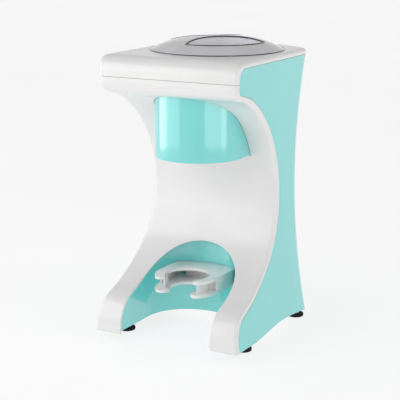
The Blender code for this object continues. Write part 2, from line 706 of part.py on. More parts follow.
def make_blade_group(empty):
    axis = (0, LID_Y)
    top = DISC_Z + 3 * MM
    disc = add_object("blade_disc", ring(SHAFT_RADIUS + GAP, DISC_RADIUS, DISC_Z, top, axis, 36),
                      "steel", empty.location, empty)
    for number, side in ((1, 1), (2, -1)):
        slot = [(side * x, LID_Y + side * y) for x, y in
                ((18 * MM, 3 * MM), (64 * MM, 3 * MM), (64 * MM, 12 * MM), (18 * MM, 12 * MM))]
        cut(disc, prism(slot, 0.34, 0.35), f"blade_slot_{number}")
        low, high = top + 0.3 * MM, top + 1.5 * MM
        section = [(-13, low), (4.5, low), (9.5, high + 0.9 * MM), (8.5, high + 1.2 * MM),
                   (4, high), (-13, high)]
        rings = [[(side * x, LID_Y + side * y * MM, z) for y, z in section]
                 for x in (17 * MM, 65 * MM)]
        blade = add_object(f"shaving_blade_{number}", loft(rings), "steel", empty.location, empty)
        for place, x in enumerate((28 * MM, 54 * MM), 1):
            spot = (side * x, LID_Y - side * 7 * MM)
            cut(blade, cylinder(1.9 * MM, 0.34, 0.36, spot, 16), f"blade_{number}_hole_{place}")
            cut(disc, cylinder(1.9 * MM, 0.34, 0.36, spot, 16), f"disc_{number}_hole_{place}")
            head = [(1.5 * MM, DISC_Z - 0.8 * MM), (1.5 * MM, high + GAP), (3.4 * MM, high + GAP),
                    (3.0 * MM, high + 1.6 * MM)]
            add_object(f"blade_screw_{number}_{place}", solid_turning(head, spot, 16), "zinc",
                       empty.location, empty)
    hub = [(SHAFT_RADIUS + GAP, top + GAP), (13 * MM, top + GAP), (13 * MM, top + 3 * MM),
           (9 * MM, top + 8 * MM), (SHAFT_RADIUS + GAP, top + 8 * MM)]
    add_object("blade_hub", spun(hub, axis, 24), "zinc", empty.location, empty)
    add_object("blade_shaft", cylinder(SHAFT_RADIUS, 280 * MM, top + 7 * MM, axis, 24), "steel",
               empty.location, empty)
    gear = gear_outline(GEAR_TEETH, GEAR_PITCH - 0.5 * MM, GEAR_PITCH - 2 * MM, axis)
    add_object("large_gear", ring_prism(gear, SHAFT_RADIUS + GAP, GEAR_Z, GEAR_Z + 8 * MM, axis),
               "nylon", empty.location, empty)


def make_motor_group(empty):
    axis = (0, MOTOR_Y)
    add_object("motor_shaft", cylinder(2.5 * MM, 183 * MM, 303 * MM, axis, 20), "steel",
               empty.location, empty)
    pinion = gear_outline(PINION_TEETH, PINION_PITCH + 0.1 * MM, PINION_PITCH - 1.2 * MM, axis)
    add_object("pinion", ring_prism(pinion, 2.8 * MM, GEAR_Z - 1 * MM, GEAR_Z + 9 * MM, axis),
               "nylon", empty.location, empty)
    fan = add_object("cooling_fan", ring(2.8 * MM, 8 * MM, 184 * MM, 194 * MM, axis, 24),
                     "black_plastic", empty.location, empty)
    for k in range(7):
        angle = 2 * math.pi * k / 7
        c, s = math.cos(angle), math.sin(angle)
        rings = []
        for radius in (7 * MM, 27 * MM):
            rings.append([(axis[0] + radius * c - offset * MM * s,
                           axis[1] + radius * s + offset * MM * c, (189 + up) * MM)
                          for offset, up in ((-5, -3), (-5, -1.8), (5, 3), (5, 1.8))])
        join(fan, loft(rings), f"fan_vane_{k + 1}")


def make_drive_supports():
    motor_axis = (0, MOTOR_Y)
    can = [(3, 199), (9, 199), (9, 202), (31, 203.5), (31, 276), (29.5, 278), (10, 278),
           (10, 280.4), (3, 280.4)]
    add_object("motor_can", spun([(r * MM, z * MM) for r, z in can], motor_axis, 32), "zinc")
    plate = add_object("gear_plate",
                       box(-43 * MM, 43 * MM, -12 * MM, 94 * MM, GEAR_PLATE_Z, GEAR_PLATE_Z + 3 * MM),
                       "zinc")
    cut(plate, cylinder(8.3 * MM, 0.27, 0.29, (0, LID_Y), 28), "bearing_hole")
    cut(plate, cylinder(5 * MM, 0.27, 0.29, motor_axis, 24), "motor_shaft_hole")
    for number, x in ((1, -20 * MM), (2, 20 * MM)):
        spot = (x, MOTOR_Y)
        cut(plate, cylinder(2.4 * MM, 0.27, 0.29, spot, 16), f"motor_screw_hole_{number}")
        top = GEAR_PLATE_Z + 3 * MM + GAP
        screw = [(1.9 * MM, GEAR_PLATE_Z - 2.5 * MM), (1.9 * MM, top), (3.8 * MM, top),
                 (3.4 * MM, top + 2 * MM)]
        add_object(f"motor_screw_{number}", solid_turning(screw, spot, 16), "zinc")
    cradle = add_object("motor_cradle", box(-43 * MM, 43 * MM, 28 * MM, 94 * MM, 208 * MM, 212 * MM),
                        "zinc")
    cut(cradle, cylinder(MOTOR_RADIUS + GAP, 0.2, 0.22, motor_axis, 40), "motor_bore")
    for name, side in (("chassis_left", -1), ("chassis_right", 1)):
        x0, x1 = sorted((side * 43.3 * MM, side * 46.3 * MM))
        frame = add_object(name, box(x0, x1, 32 * MM, 92 * MM, BASE_Z + 3 * MM + GAP, 335.6 * MM),
                           "zinc")
        for number, z in ((1, 75), (2, 130), (3, 240)):
            window = rounded_rectangle(18 * MM, 20 * MM, 6 * MM, (62 * MM, z * MM))
            cut(frame, prism(window, -0.06, 0.06, "X"), f"{name}_window_{number}")
    add_object("upper_bearing", ring(SHAFT_RADIUS + GAP, 8.1 * MM, 335.8 * MM, 340 * MM,
                                     (0, LID_Y), 28), "bronze")
    add_object("lower_bearing", ring(SHAFT_RADIUS + GAP, 8 * MM, 280.5 * MM, 286 * MM,
                                     (0, LID_Y), 28), "bronze")


def make_interlock(empty):
    axis = (0, PIN_Y)
    collar = 357 * MM
    pin = [(PIN_RADIUS, 341.1 * MM), (PIN_RADIUS, collar), (3.6 * MM, collar),
           (3.6 * MM, collar + 2 * MM), (PIN_RADIUS, collar + 2 * MM),
           (PIN_RADIUS, PIN_TOP - 0.4 * MM), (PIN_RADIUS - 0.5 * MM, PIN_TOP)]
    add_object("interlock_pin", solid_turning(pin, axis, 16), "black_plastic", empty.location,
               empty)
    bracket = add_object("switch_bracket",
                         box(-14 * MM, 14 * MM, 95 * MM, 112 * MM, 341 * MM, 343.5 * MM), "zinc")
    cut(bracket, cylinder(PIN_RADIUS + 0.5 * MM, 0.33, 0.35, axis, 16), "bracket_pin_hole")
    add_object("microswitch", box(-9 * MM, 9 * MM, 95.6 * MM, 104.6 * MM, 328 * MM, 340.7 * MM),
               "black_plastic")
    coil = bpy.data.curves.new("interlock_spring_wire", "CURVE")
    coil.dimensions = "3D"
    coil.bevel_depth = 0.4 * MM
    coil.bevel_resolution = 1
    coil.use_fill_caps = True
    turns, per_turn = 5, 8
    spline = coil.splines.new("POLY")
    spline.points.add(turns * per_turn)
    for k in range(turns * per_turn + 1):
        angle = 2 * math.pi * k / per_turn
        z = 344.4 * MM + 11.8 * MM * k / (turns * per_turn)
        spline.points[k].co = (3.1 * MM * math.cos(angle), PIN_Y + 3.1 * MM * math.sin(angle), z,
                               1)
    spring = bpy.data.objects.new("interlock_spring", coil)
    coil.materials.append(make_material("interlock_spring_finish", *LOOKS["steel"]))
    bpy.context.scene.collection.objects.link(spring)


def make_electrics():
    add_object("power_board", box(-30 * MM, 30 * MM, 92 * MM, 94 * MM, 80 * MM, 140 * MM), "board")
    gland = [(3.6 * MM, -8 * MM), (6.8 * MM, -8 * MM), (6.8 * MM, 0), (10 * MM, 0),
             (10 * MM, 2.5 * MM), (6 * MM, 6 * MM), (3.6 * MM, 6 * MM)]
    bm = spun(gland, (0, 0), 20)
    for vertex in bm.verts:
        x, y, z = vertex.co
        vertex.co = (x, GLAND_FACE_Y + GAP + z, GLAND_Z + y)
    add_object("cord_gland", bm, "black_plastic")


# ---- cone holder --------------------------------------------------------------------------
def holder_plan(bore):
    """C-shaped plan outline: round tips at the front, a back that follows the recess wall."""
    reach = HOLDER_HALF_WIDTH
    turn = HOLDER_MOUTH - math.pi / 2
    middle = (reach + bore) / 2
    tip = arc((reach - bore) / 2,
              (middle * math.cos(turn), HOLDER_Y + middle * math.sin(turn)),
              turn - math.pi, turn, 8)
    outer = arc(reach, (0, HOLDER_Y), turn, 0, 8)
    wall_y = RECESS_Y + RECESS_DEPTH * math.sqrt(1 - (reach / RECESS_HALF_WIDTH) ** 2) - 0.7 * MM
    outer.append((reach, wall_y))
    back = []
    for k in range(1, 6):
        x = reach * (1 - k / 6)
        back.append((x, RECESS_Y + RECESS_DEPTH * math.sqrt(1 - (x / RECESS_HALF_WIDTH) ** 2)
                     - 0.7 * MM))
    half = outer + back
    full = half + [(0, RECESS_Y + RECESS_DEPTH - 0.7 * MM)] + [(-x, y) for x, y in half[::-1]]
    inner = arc(bore, (0, HOLDER_Y), -math.pi / 2 - HOLDER_MOUTH,
                -5 * math.pi / 2 + HOLDER_MOUTH, 30)
    return full + [(-x, y) for x, y in tip[-2:0:-1]] + inner + tip[1:-1]


def make_cone_holder(empty):
    low, high = HOLDER_PLATES
    holder = add_object("cone_holder",
                        prism(holder_plan(HOLDER_BORES[1]), high, high + HOLDER_PLATE), "white",
                        empty.location, empty)
    join(holder, prism(holder_plan(HOLDER_BORES[0]), low, low + HOLDER_PLATE), "lower_plate")
    wall = 2.5 * MM
    for side, label in ((1, "right"), (-1, "left")):
        x0, x1 = sorted((side * (HOLDER_HALF_WIDTH - wall), side * (HOLDER_HALF_WIDTH - 0.02 * MM)))
        join(holder, box(x0, x1, -64 * MM, -18 * MM, low + 2 * MM, high + 2 * MM),
             f"{label}_side_wall")
        bore = HOLDER_BORES[1] + 0.02 * MM
        start, end = HOLDER_MOUTH - math.pi / 2, math.radians(-2)
        curved = arc(bore, (0, HOLDER_Y), start, end, 8) + arc(bore + wall, (0, HOLDER_Y),
                                                               end, start, 8)
        join(holder, prism([(side * x, y) for x, y in curved], low + 2 * MM, high + 2 * MM),
             f"{label}_bore_wall")
    join(holder, box(-30 * MM, 30 * MM, -16.6 * MM, -14.1 * MM, low + 2 * MM, high + 2 * MM),
         "rear_wall")
    return holder


def make_holder_bracket():
    """Hook plate on the recess wall that the cone holder drops over."""
    return add_object("holder_bracket",
                      box(-14 * MM, 14 * MM, -12.5 * MM, -4.6 * MM, 72 * MM, 84.5 * MM), "white")


def build():
    for obj in list(bpy.data.objects):
        bpy.data.objects.remove(obj)
    make_top_cover()
    make_front_band()
    make_side_panel("left_side_panel", -1)
    make_side_panel("right_side_panel", 1)
    make_rear_cover()
    make_recess_wall()
    make_chute_housing()
    make_chute_floor()
    make_ice_chute()
    make_base_plate()
    make_feet()
    make_ice_chamber()
    lift = make_joint_empty("lid_lift_axis", (0, LID_Y, 381 * MM))
    twist = make_joint_empty("lid_twist_axis", (0, LID_Y, LID_EDGE_Z))
    make_lid(lift, twist)
    make_blade_group(make_joint_empty("blade_axis", (0, LID_Y, DISC_Z)))
    make_motor_group(make_joint_empty("motor_axis", (0, MOTOR_Y, 240 * MM)))
    make_drive_supports()
    make_interlock(make_joint_empty("interlock_axis", (0, PIN_Y, 365 * MM)))
    make_electrics()
    make_cone_holder(make_joint_empty("holder_axis", (0, HOLDER_Y, HOLDER_PLATES[0])))
    make_holder_bracket()


build()
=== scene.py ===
"""Looks of the tabletop shaved ice machine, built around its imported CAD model.

Metres, +Z up, front of the machine toward -Y.
"""
import json
import math

import bmesh
import bpy
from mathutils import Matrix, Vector


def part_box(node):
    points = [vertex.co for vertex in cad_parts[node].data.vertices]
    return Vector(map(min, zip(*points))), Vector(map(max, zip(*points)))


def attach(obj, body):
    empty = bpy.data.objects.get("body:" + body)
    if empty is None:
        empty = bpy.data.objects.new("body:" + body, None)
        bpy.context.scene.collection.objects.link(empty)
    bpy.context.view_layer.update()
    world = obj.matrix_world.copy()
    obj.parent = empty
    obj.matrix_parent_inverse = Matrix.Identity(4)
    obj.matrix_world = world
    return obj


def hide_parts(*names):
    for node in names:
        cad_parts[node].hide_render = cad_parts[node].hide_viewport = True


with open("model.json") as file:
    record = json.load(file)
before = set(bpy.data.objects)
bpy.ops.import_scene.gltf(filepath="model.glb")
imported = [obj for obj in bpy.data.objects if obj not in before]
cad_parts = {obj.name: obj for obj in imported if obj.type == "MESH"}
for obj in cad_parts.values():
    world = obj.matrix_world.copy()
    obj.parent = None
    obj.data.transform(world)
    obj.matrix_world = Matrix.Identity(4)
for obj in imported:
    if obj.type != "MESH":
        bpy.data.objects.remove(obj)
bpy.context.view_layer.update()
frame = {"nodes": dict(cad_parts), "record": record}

MM = 0.001
GAP = 0.3 * MM                 # open line between neighbouring shells

# ---- sizes of the visible pieces, in step with the CAD model ------------------------------
SHELL = 2.5 * MM               # wall of the aqua shells and of the head cover
BAND_WALL = 3 * MM             # wall of the white front
TRIM = 8 * MM                  # how far the white front wraps round to the sides
ROLL = 4 * MM                  # radius of the white front's side edges
WIDTH_LEVELS = (0, 192 * MM, 345.6 * MM)         # heights at which the widths below hold
HALF_WIDTHS = (109 * MM, 95.5 * MM, 99.5 * MM)
REAR_LEVELS = (7 * MM, 235 * MM, 374 * MM)       # the same for the back's furthest points
REAR_REACH = (129.5 * MM, 104.5 * MM, 122 * MM)
REAR_CROWN = 173 * MM          # plan radius of the crowned back
REAR_CORNER = 21 * MM          # plan radius of the rear corners
NOSE_TOP_RADIUS = 19 * MM
NOSE_BOTTOM_RADIUS = 20 * MM
NOSE_BOTTOM_Z = 353.5 * MM
NOSE_UNDERSIDE_TURN = math.radians(68)
S_CURVE = [(-76, 325.5), (-40, 301.5), (-10.5, 266), (8, 220), (7.5, 170), (-11.5, 126.5),
           (-42, 95), (-78.5, 71.5), (-112, 56.5), (-127, 36), (-129.5, 22),
           (-129.5, 12)]       # y and z of the front below the nose, in millimetres
WAIST_Z = 170 * MM             # the front runs forward and down below this height
SIDE_FOOT_Z = 11 * MM          # lowest level of the side panels
SIDE_CREST = 0.35 * MM         # how far a side panel's front edge is drawn in
SIDE_ARCH = [(-90, 10), (-73, 12), (-43, 15), (-12, 18), (8, 19), (30, 18.3), (60, 16),
             (88, 13.2), (100, 11)]   # y and z of a side's lower edge, in millimetres
OUTSIDE_X = 130 * MM           # beyond the body, for tools that cut right through it
OUTSIDE_Y = 200 * MM

BODY_TOP = 384 * MM            # flat top of the head
COVER_ROLL = 6 * MM            # radius of the head cover's top edge
SEAM_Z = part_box("top_cover")[0][2]
NOSE_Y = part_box("top_cover")[0][1]
REAR_FOOT_Z = 12.5 * MM
VENT_ROWS = 7
VENT_PITCH = 11 * MM
VENT_Z = 180 * MM
VENT_HALF_SIZE = (26 * MM, 1.75 * MM)
GLAND_Z = 50 * MM
GLAND_SEAT = 12.5 * MM         # radius of the round flat that the cord gland sits on
GLAND_HOLE = 7.3 * MM

LID_LOW, LID_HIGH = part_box("lid")
LID_Y = (LID_LOW[1] + LID_HIGH[1]) / 2
LID_RADIUS = (LID_HIGH[0] - LID_LOW[0]) / 2
LID_OPENING = LID_RADIUS + 0.6 * MM
LID_EDGE_Z = 383.8 * MM
LID_RIM_Z = 382.5 * MM         # underside of the rim
LID_RIM_INNER = 86 * MM
LID_WALL = 2.7 * MM
LID_COLLAR = (70.8 * MM, 73 * MM)                # radii of the ring under the lid
LID_COLLAR_LEVELS = (375.5 * MM, 391 * MM)
LID_SEGMENTS = 144
DOME_RISE = 18 * MM
GRIP_ANGLE = math.radians(44.5)                  # turn of the grip bar from +X
GRIP_HALF_WIDTH = 9 * MM
POCKET_RADIUS = 66 * MM
POCKET_CORNER = math.radians(34)                 # where the lip ends, seen from the middle
POCKET_FLOOR = 389 * MM
POCKET_EDGE = 0.3 * MM         # the pockets' own walls end this far below the dome
ABOVE_LID = 420 * MM
BELOW_LID = 370 * MM

CHUTE_HALF_WIDTH = 60.5 * MM
CHUTE_Y = -31.7 * MM
_, CHUTE_REAR_Y, CHUTE_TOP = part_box("chute_housing")[1]
CHUTE_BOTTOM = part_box("chute_housing")[0][2]
CHUTE_CUT_TOP = 344.5 * MM     # the white front is open to the chute up to here
ARCH_HALF_WIDTH = 68 * MM
ARCH_SPRING = 69 * MM
ARCH_RISE = 54 * MM
RECESS_HALF_WIDTH = 70.5 * MM
RECESS_Y = -58 * MM
RECESS_DEPTH = 55.5 * MM
RECESS_FRONT_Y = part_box("recess_wall")[0][1]
RECESS_LOW_EDGE = 14 * MM
RECESS_LOW_RISE = 5 * MM       # rise of the low edge from the sides to the middle
RECESS_FRONT_TOP = 50 * MM

HOLDER_Y = -66 * MM
HOLDER_HALF_WIDTH = 44 * MM
HOLDER_BORES = (24 * MM, 30 * MM)                # of the lower and the upper plate
HOLDER_MOUTH = math.radians(52)                  # half of the plates' open angle
HOLDER_PLATE = 4 * MM
HOLDER_WALL = 2.5 * MM
HOLDER_SIDE = (-64 * MM, -18 * MM)               # where the side walls start and end in y
HOLDER_BACK = (-16.6 * MM, -14.1 * MM)           # where the back wall does
HOLDER_BACK_REACH = 30 * MM    # half of the back wall's length
HOLDER_CLEARANCE = 0.7 * MM    # between the holder and the recess wall
OVERLAP = 0.02 * MM            # keeps faces of joined solids from lying in one plane


# ---- mesh helpers -------------------------------------------------------------------------
def sheet(outer, inner):
    """Close two equal grids of points, outer[i][j] and inner[i][j], into one walled body."""
    bm = bmesh.new()
    rows, columns = len(outer), len(outer[0])
    skins = [[[bm.verts.new(p) for p in row] for row in grid] for grid in (outer, inner)]
    for skin in skins:
        for i in range(rows - 1):
            for j in range(columns - 1):
                bm.faces.new((skin[i][j], skin[i + 1][j], skin[i + 1][j + 1], skin[i][j + 1]))
    a, b = skins
    for i in range(rows - 1):
        for j in (0, columns - 1):
            bm.faces.new((a[i][j], a[i + 1][j], b[i + 1][j], b[i][j]))
    for j in range(columns - 1):
        for i in (0, rows - 1):
            bm.faces.new((a[i][j], a[i][j + 1], b[i][j + 1], b[i][j]))
    return bm


def loft(rings):
    """Skin a list of closed rings and cap both ends."""
    bm = bmesh.new()
    loops = [[bm.verts.new(p) for p in ring] for ring in rings]
    count = len(loops[0])
    for low, high in zip(loops, loops[1:]):
        for k in range(count):
            bm.faces.new((low[k], low[(k + 1) % count], high[(k + 1) % count], high[k]))
    bm.faces.new(loops[0])
    bm.faces.new(loops[-1])
    return bm


def prism(outline, low, high, axis="Z"):
    """Extrude a closed outline; it lies in XY for axis Z, in YZ for X and in XZ for Y."""
    place = {"Z": lambda a, b, t: (a, b, t), "X": lambda a, b, t: (t, a, b),
             "Y": lambda a, b, t: (a, t, b)}[axis]
    return loft([[place(a, b, t) for a, b in outline] for t in (low, high)])


def closed_tube(rings):
    """Skin a list of closed rings whose last one joins the first."""
    bm = bmesh.new()
    loops = [[bm.verts.new(p) for p in ring] for ring in rings]
    count = len(loops[0])
    for here, there in zip(loops, loops[1:] + loops[:1]):
        for k in range(count):
            bm.faces.new((here[k], here[(k + 1) % count], there[(k + 1) % count], there[k]))
    return bm


def spun(profile, axis_xy, segments):
    """Turn a closed (radius, z) outline round a vertical axis into a ring-shaped body."""
    rings = []
    for step in range(segments):
        angle = 2 * math.pi * step / segments
        c, s = math.cos(angle), math.sin(angle)
        rings.append([(axis_xy[0] + r * c, axis_xy[1] + r * s, z) for r, z in profile])
    return closed_tube(rings)


def ring(inner, outer, low, high, axis_xy, segments):
    return spun([(inner, low), (outer, low), (outer, high), (inner, high)], axis_xy, segments)


def circle(radius, centre, segments):
    return arc(radius, centre, 0, 2 * math.pi, segments)[:-1]


def arc(radius, centre, start, end, steps):
    """Points of an arc between two angles, with both ends."""
    return [(centre[0] + radius * math.cos(start + (end - start) * k / steps),
             centre[1] + radius * math.sin(start + (end - start) * k / steps))
            for k in range(steps + 1)]


def quarter_turn(steps):
    """Evenly spaced angles from 0 to a right angle."""
    return [math.pi / 2 * k / steps for k in range(steps + 1)]


def lifted(outline, z):
    """A plan outline placed at height z."""
    return [(x, y, z) for x, y in outline]


def mirrored(half):
    """Complete a half outline that ends on the middle line, where x is 0."""
    return half + [(-x, y) for x, y in half[-2::-1]]


def cylinder(radius, low, high, axis_xy, segments):
    return prism(circle(radius, axis_xy, segments), low, high)


def box(x0, x1, y0, y1, z0, z1):
    return prism([(x0, y0), (x1, y0), (x1, y1), (x0, y1)], z0, z1)


def rounded_rectangle(half_x, half_y, radius, centre, steps):
    points = []
    for quadrant, (sx, sy) in enumerate(((1, 1), (-1, 1), (-1, -1), (1, -1))):
        corner = (centre[0] + sx * (half_x - radius), centre[1] + sy * (half_y - radius))
        start = quadrant * math.pi / 2
        points += arc(radius, corner, start, start + math.pi / 2, steps)
    return points


def through_three(levels, values, z):
    """Quadratic through three (level, value) pairs."""
    total = 0.0
    for i in range(3):
        weight = 1.0
        for j in range(3):
            if i != j:
                weight *= (z - levels[j]) / (levels[i] - levels[j])
        total += weight * values[i]
    return total


def half_width(z):
    """Half of the body's width at height z."""
    return through_three(WIDTH_LEVELS, HALF_WIDTHS, z)


def rear_reach(z):
    """The y of the back's middle at height z."""
    return through_three(REAR_LEVELS, REAR_REACH, z)


def smooth_curve(points, steps):
    """Catmull-Rom curve through the points, as (y, z) pairs."""
    padded = [points[0], *points, points[-1]]
    result = []
    for a, b, c, d in zip(padded, padded[1:], padded[2:], padded[3:]):
        for k in range(steps):
            t = k / steps
            result.append(tuple(
                0.5 * (2 * q + (r - p) * t + (2 * p - 5 * q + 4 * r - s) * t * t
                       + (3 * q - 3 * r + s - p) * t ** 3)
                for p, q, r, s in zip(a, b, c, d)))
    return result + [points[-1]]


def front_outline(arc_steps=14, curve_steps=7):
    """The body's front outline, top edge to foot, as (y, z) pairs."""
    top = arc(NOSE_TOP_RADIUS, (NOSE_Y + NOSE_TOP_RADIUS, BODY_TOP - NOSE_TOP_RADIUS),
              math.pi / 2, math.pi, arc_steps)
    low_centre = (NOSE_Y + NOSE_BOTTOM_RADIUS, NOSE_BOTTOM_Z)
    bottom = arc(NOSE_BOTTOM_RADIUS, low_centre, math.pi, math.pi + NOSE_UNDERSIDE_TURN,
                 arc_steps)
    curve = smooth_curve([bottom[-1], *((y * MM, z * MM) for y, z in S_CURVE)], curve_steps)
    return top + [(NOSE_Y, SEAM_Z)] + bottom + curve[1:]


def inward_normals(points):
    """Unit normals of the front outline, towards the inside of the body."""
    normals = []
    for k in range(len(points)):
        a, b = points[max(k - 1, 0)], points[min(k + 1, len(points) - 1)]
        dy, dz = b[0] - a[0], b[1] - a[1]
        length = math.hypot(dy, dz)
        normals.append((-dz / length, dy / length))
    return normals


def offset_outline(points, distance):
    """The outline moved inwards by a distance."""
    return [(y + ny * distance, z + nz * distance)
            for (y, z), (ny, nz) in zip(points, inward_normals(points))]


FRONT = front_outline()
SEAM_INDEX = FRONT.index((NOSE_Y, SEAM_Z))


def at_height(points, z):
    """The y of a falling outline at height z."""
    for (y0, z0), (y1, z1) in zip(points, points[1:]):
        if z0 >= z >= z1 and z0 > z1:
            return y0 + (y1 - y0) * (z0 - z) / (z0 - z1)
    return points[-1][0] if z < points[-1][1] else points[0][0]


def rear_arcs(z, inset, steps=9):
    """Half of the back's plan outline at height z: the corner arc, then the crowned back."""
    crown_y = rear_reach(z) - REAR_CROWN
    corner_x = half_width(z) - REAR_CORNER
    corner_y = crown_y + math.sqrt((REAR_CROWN - REAR_CORNER) ** 2 - corner_x ** 2)
    turn = math.atan2(corner_y - crown_y, corner_x)
    corner = arc(REAR_CORNER - inset, (corner_x, corner_y), 0, turn, steps)
    crown = arc(REAR_CROWN - inset, (0, crown_y), turn, math.pi / 2, steps)
    return corner, crown


# ---- materials ----------------------------------------------------------------------------
class Shader:
    """Small builder for one procedural material."""

    def __init__(self, name):
        self.material = bpy.data.materials.new(name)
        self.material.use_nodes = True
        self.nodes = self.material.node_tree.nodes
        self.links = self.material.node_tree.links
        self.surface = self.nodes["Principled BSDF"]
        self.place = self.add("ShaderNodeTexCoord").outputs["Object"]

    def add(self, kind, **settings):
        node = self.nodes.new(kind)
        for key, value in settings.items():
            setattr(node, key, value)
        return node

    def set(self, **values):
        """Give surface inputs plain values; an underscore stands for a space in a name."""
        for key, value in values.items():
            self.surface.inputs[key.replace("_", " ")].default_value = value

    def noise(self, scale, detail=3.0, stretch=(1, 1, 1), distortion=0.0):
        """Noise from 0 to 1 in the piece's own space."""
        mapping = self.add("ShaderNodeMapping")
        mapping.inputs["Scale"].default_value = stretch
        self.links.new(self.place, mapping.inputs["Vector"])
        node = self.add("ShaderNodeTexNoise")
        node.inputs["Scale"].default_value = scale
        node.inputs["Detail"].default_value = detail
        node.inputs["Distortion"].default_value = distortion
        self.links.new(mapping.outputs["Vector"], node.inputs["Vector"])
        return node.outputs["Fac"]

    def span(self, value, low, high, start=0.3, end=0.7):
        """Map a value's range from start to end onto low to high."""
        node = self.add("ShaderNodeMapRange")
        node.inputs["From Min"].default_value = start
        node.inputs["From Max"].default_value = end
        node.inputs["To Min"].default_value = low
        node.inputs["To Max"].default_value = high
        self.links.new(value, node.inputs["Value"])
        return node.outputs["Result"]

    def mix(self, factor, first, second):
        """Blend two colours, each a socket or an RGB value."""
        node = self.add("ShaderNodeMix", data_type="RGBA")
        for socket, value in ((node.inputs[0], factor), (node.inputs[6], first),
                              (node.inputs[7], second)):
            if hasattr(value, "is_linked"):
                self.links.new(value, socket)
            elif isinstance(value, tuple):
                socket.default_value = (*value, 1)
            else:
                socket.default_value = value
        return node.outputs[2]

    def connect(self, value, name):
        self.links.new(value, self.surface.inputs[name])

    def rounded_normal(self, radius):
        """The surface normal, turned softly within a radius of each edge."""
        node = self.add("ShaderNodeBevel", samples=4)
        node.inputs["Radius"].default_value = radius
        return node.outputs["Normal"]

    def bump(self, heights, rounding=0.0):
        """Stack (height, distance, strength) bumps on a softly rounded edge normal."""
        normal = self.rounded_normal(rounding) if rounding else None
        for height, distance, strength in heights:
            node = self.add("ShaderNodeBump")
            node.inputs["Distance"].default_value = distance
            node.inputs["Strength"].default_value = strength
            self.links.new(height, node.inputs["Height"])
            if normal is not None:
                self.links.new(normal, node.inputs["Normal"])
            normal = node.outputs["Normal"]
        self.connect(normal, "Normal")

    def worn_edges(self, colour, edge_colour, amount, width=0.9 * MM):
        """Blend an edge colour onto rubbed edges, broken up by noise."""
        turned = self.add("ShaderNodeVectorMath", operation="DOT_PRODUCT")
        self.links.new(self.rounded_normal(width), turned.inputs[0])
        self.links.new(self.add("ShaderNodeNewGeometry").outputs["Normal"], turned.inputs[1])
        edge = self.span(turned.outputs["Value"], amount, 0.0, 0.72, 0.98)
        broken = self.add("ShaderNodeMath", operation="MULTIPLY")
        self.links.new(edge, broken.inputs[0])
        self.links.new(self.span(self.noise(160, 5), 0.2, 1.0), broken.inputs[1])
        return self.mix(broken.outputs[0], colour, edge_colour)


def tinted(colour, factor):
    """A lighter or darker version of a colour."""
    return tuple(min(channel * factor, 1.0) for channel in colour)


def moulded_plastic(name, colour, roughness, edge_colour=None, grain=1500, coat=0.5,
                    coat_ior=1.5, rounding=1.1 * MM):
    """Glossy injection-moulded plastic: flow mottling, fine orange peel, faint handling haze."""
    m = Shader(name)
    flow = m.noise(11, 4, distortion=0.6)
    base = m.mix(m.span(flow, 0.0, 1.0), tinted(colour, 0.975), tinted(colour, 1.015))
    dust = m.span(m.noise(420, 4), 0.0, 0.10, 0.66, 0.78)
    base = m.mix(dust, base, tinted(colour, 0.86))
    base = m.worn_edges(base, edge_colour or tinted(colour, 1.12), 0.35)
    m.connect(base, "Base Color")
    haze = m.noise(30, 2, stretch=(1, 1, 0.5))
    m.connect(m.span(haze, roughness - 0.025, roughness + 0.025, 0.1, 0.9), "Roughness")
    ripple = m.noise(26, 2)
    m.bump([(ripple, 0.05 * MM, 0.5), (m.noise(grain, 3), 0.012 * MM, 0.5)], rounding)
    m.set(Coat_Weight=coat, Coat_Roughness=0.12, Coat_IOR=coat_ior, IOR=1.49)
    return m.material


def clear_plastic(name, colour, roughness, transmission, grain=900):
    """Smoke-tinted translucent moulding with flow lines and light surface haze."""
    m = Shader(name)
    flow = m.noise(14, 4, distortion=0.9)
    base = m.mix(m.span(flow, 0.0, 1.0), tinted(colour, 0.93), tinted(colour, 1.05))
    m.connect(base, "Base Color")
    m.connect(m.span(m.noise(42, 6), roughness - 0.03, roughness + 0.07), "Roughness")
    m.bump([(flow, 0.25 * MM, 0.35), (m.noise(grain, 3), 0.01 * MM, 0.4)], 0.6 * MM)
    m.set(Transmission_Weight=transmission, IOR=1.49, Coat_Weight=0.8, Coat_Roughness=0.05)
    return m.material


def soft_rubber(name, colour):
    """Matt black rubber with a fine grain and slightly grey edges."""
    m = Shader(name)
    base = m.mix(m.span(m.noise(70, 6), 0.0, 1.0), tinted(colour, 0.8), tinted(colour, 1.4))
    base = m.worn_edges(base, (0.03, 0.03, 0.032), 0.5)
    m.connect(base, "Base Color")
    m.connect(m.span(m.noise(120, 5), 0.55, 0.78), "Roughness")
    m.bump([(m.noise(1900, 3), 0.05 * MM, 0.6)], 0.5 * MM)
    m.set(Specular_IOR_Level=0.2)
    return m.material


def worked_metal(name, colour, roughness, stretch, spangle=0.12):
    """Plated or brushed metal: fine directional lines, cloudy plating and bright edges."""
    m = Shader(name)
    lines = m.noise(900, 3, stretch=stretch)
    cloud = m.noise(55, 6, distortion=1.2)
    base = m.mix(m.span(cloud, 0.0, 1.0), tinted(colour, 1 - spangle), tinted(colour, 1 + spangle))
    base = m.worn_edges(base, tinted(colour, 1.35), 0.6)
    m.connect(base, "Base Color")
    m.connect(m.span(lines, roughness - 0.07, roughness + 0.12), "Roughness")
    m.bump([(lines, 0.02 * MM, 0.5)], 0.3 * MM)
    m.set(Metallic=1.0)
    return m.material


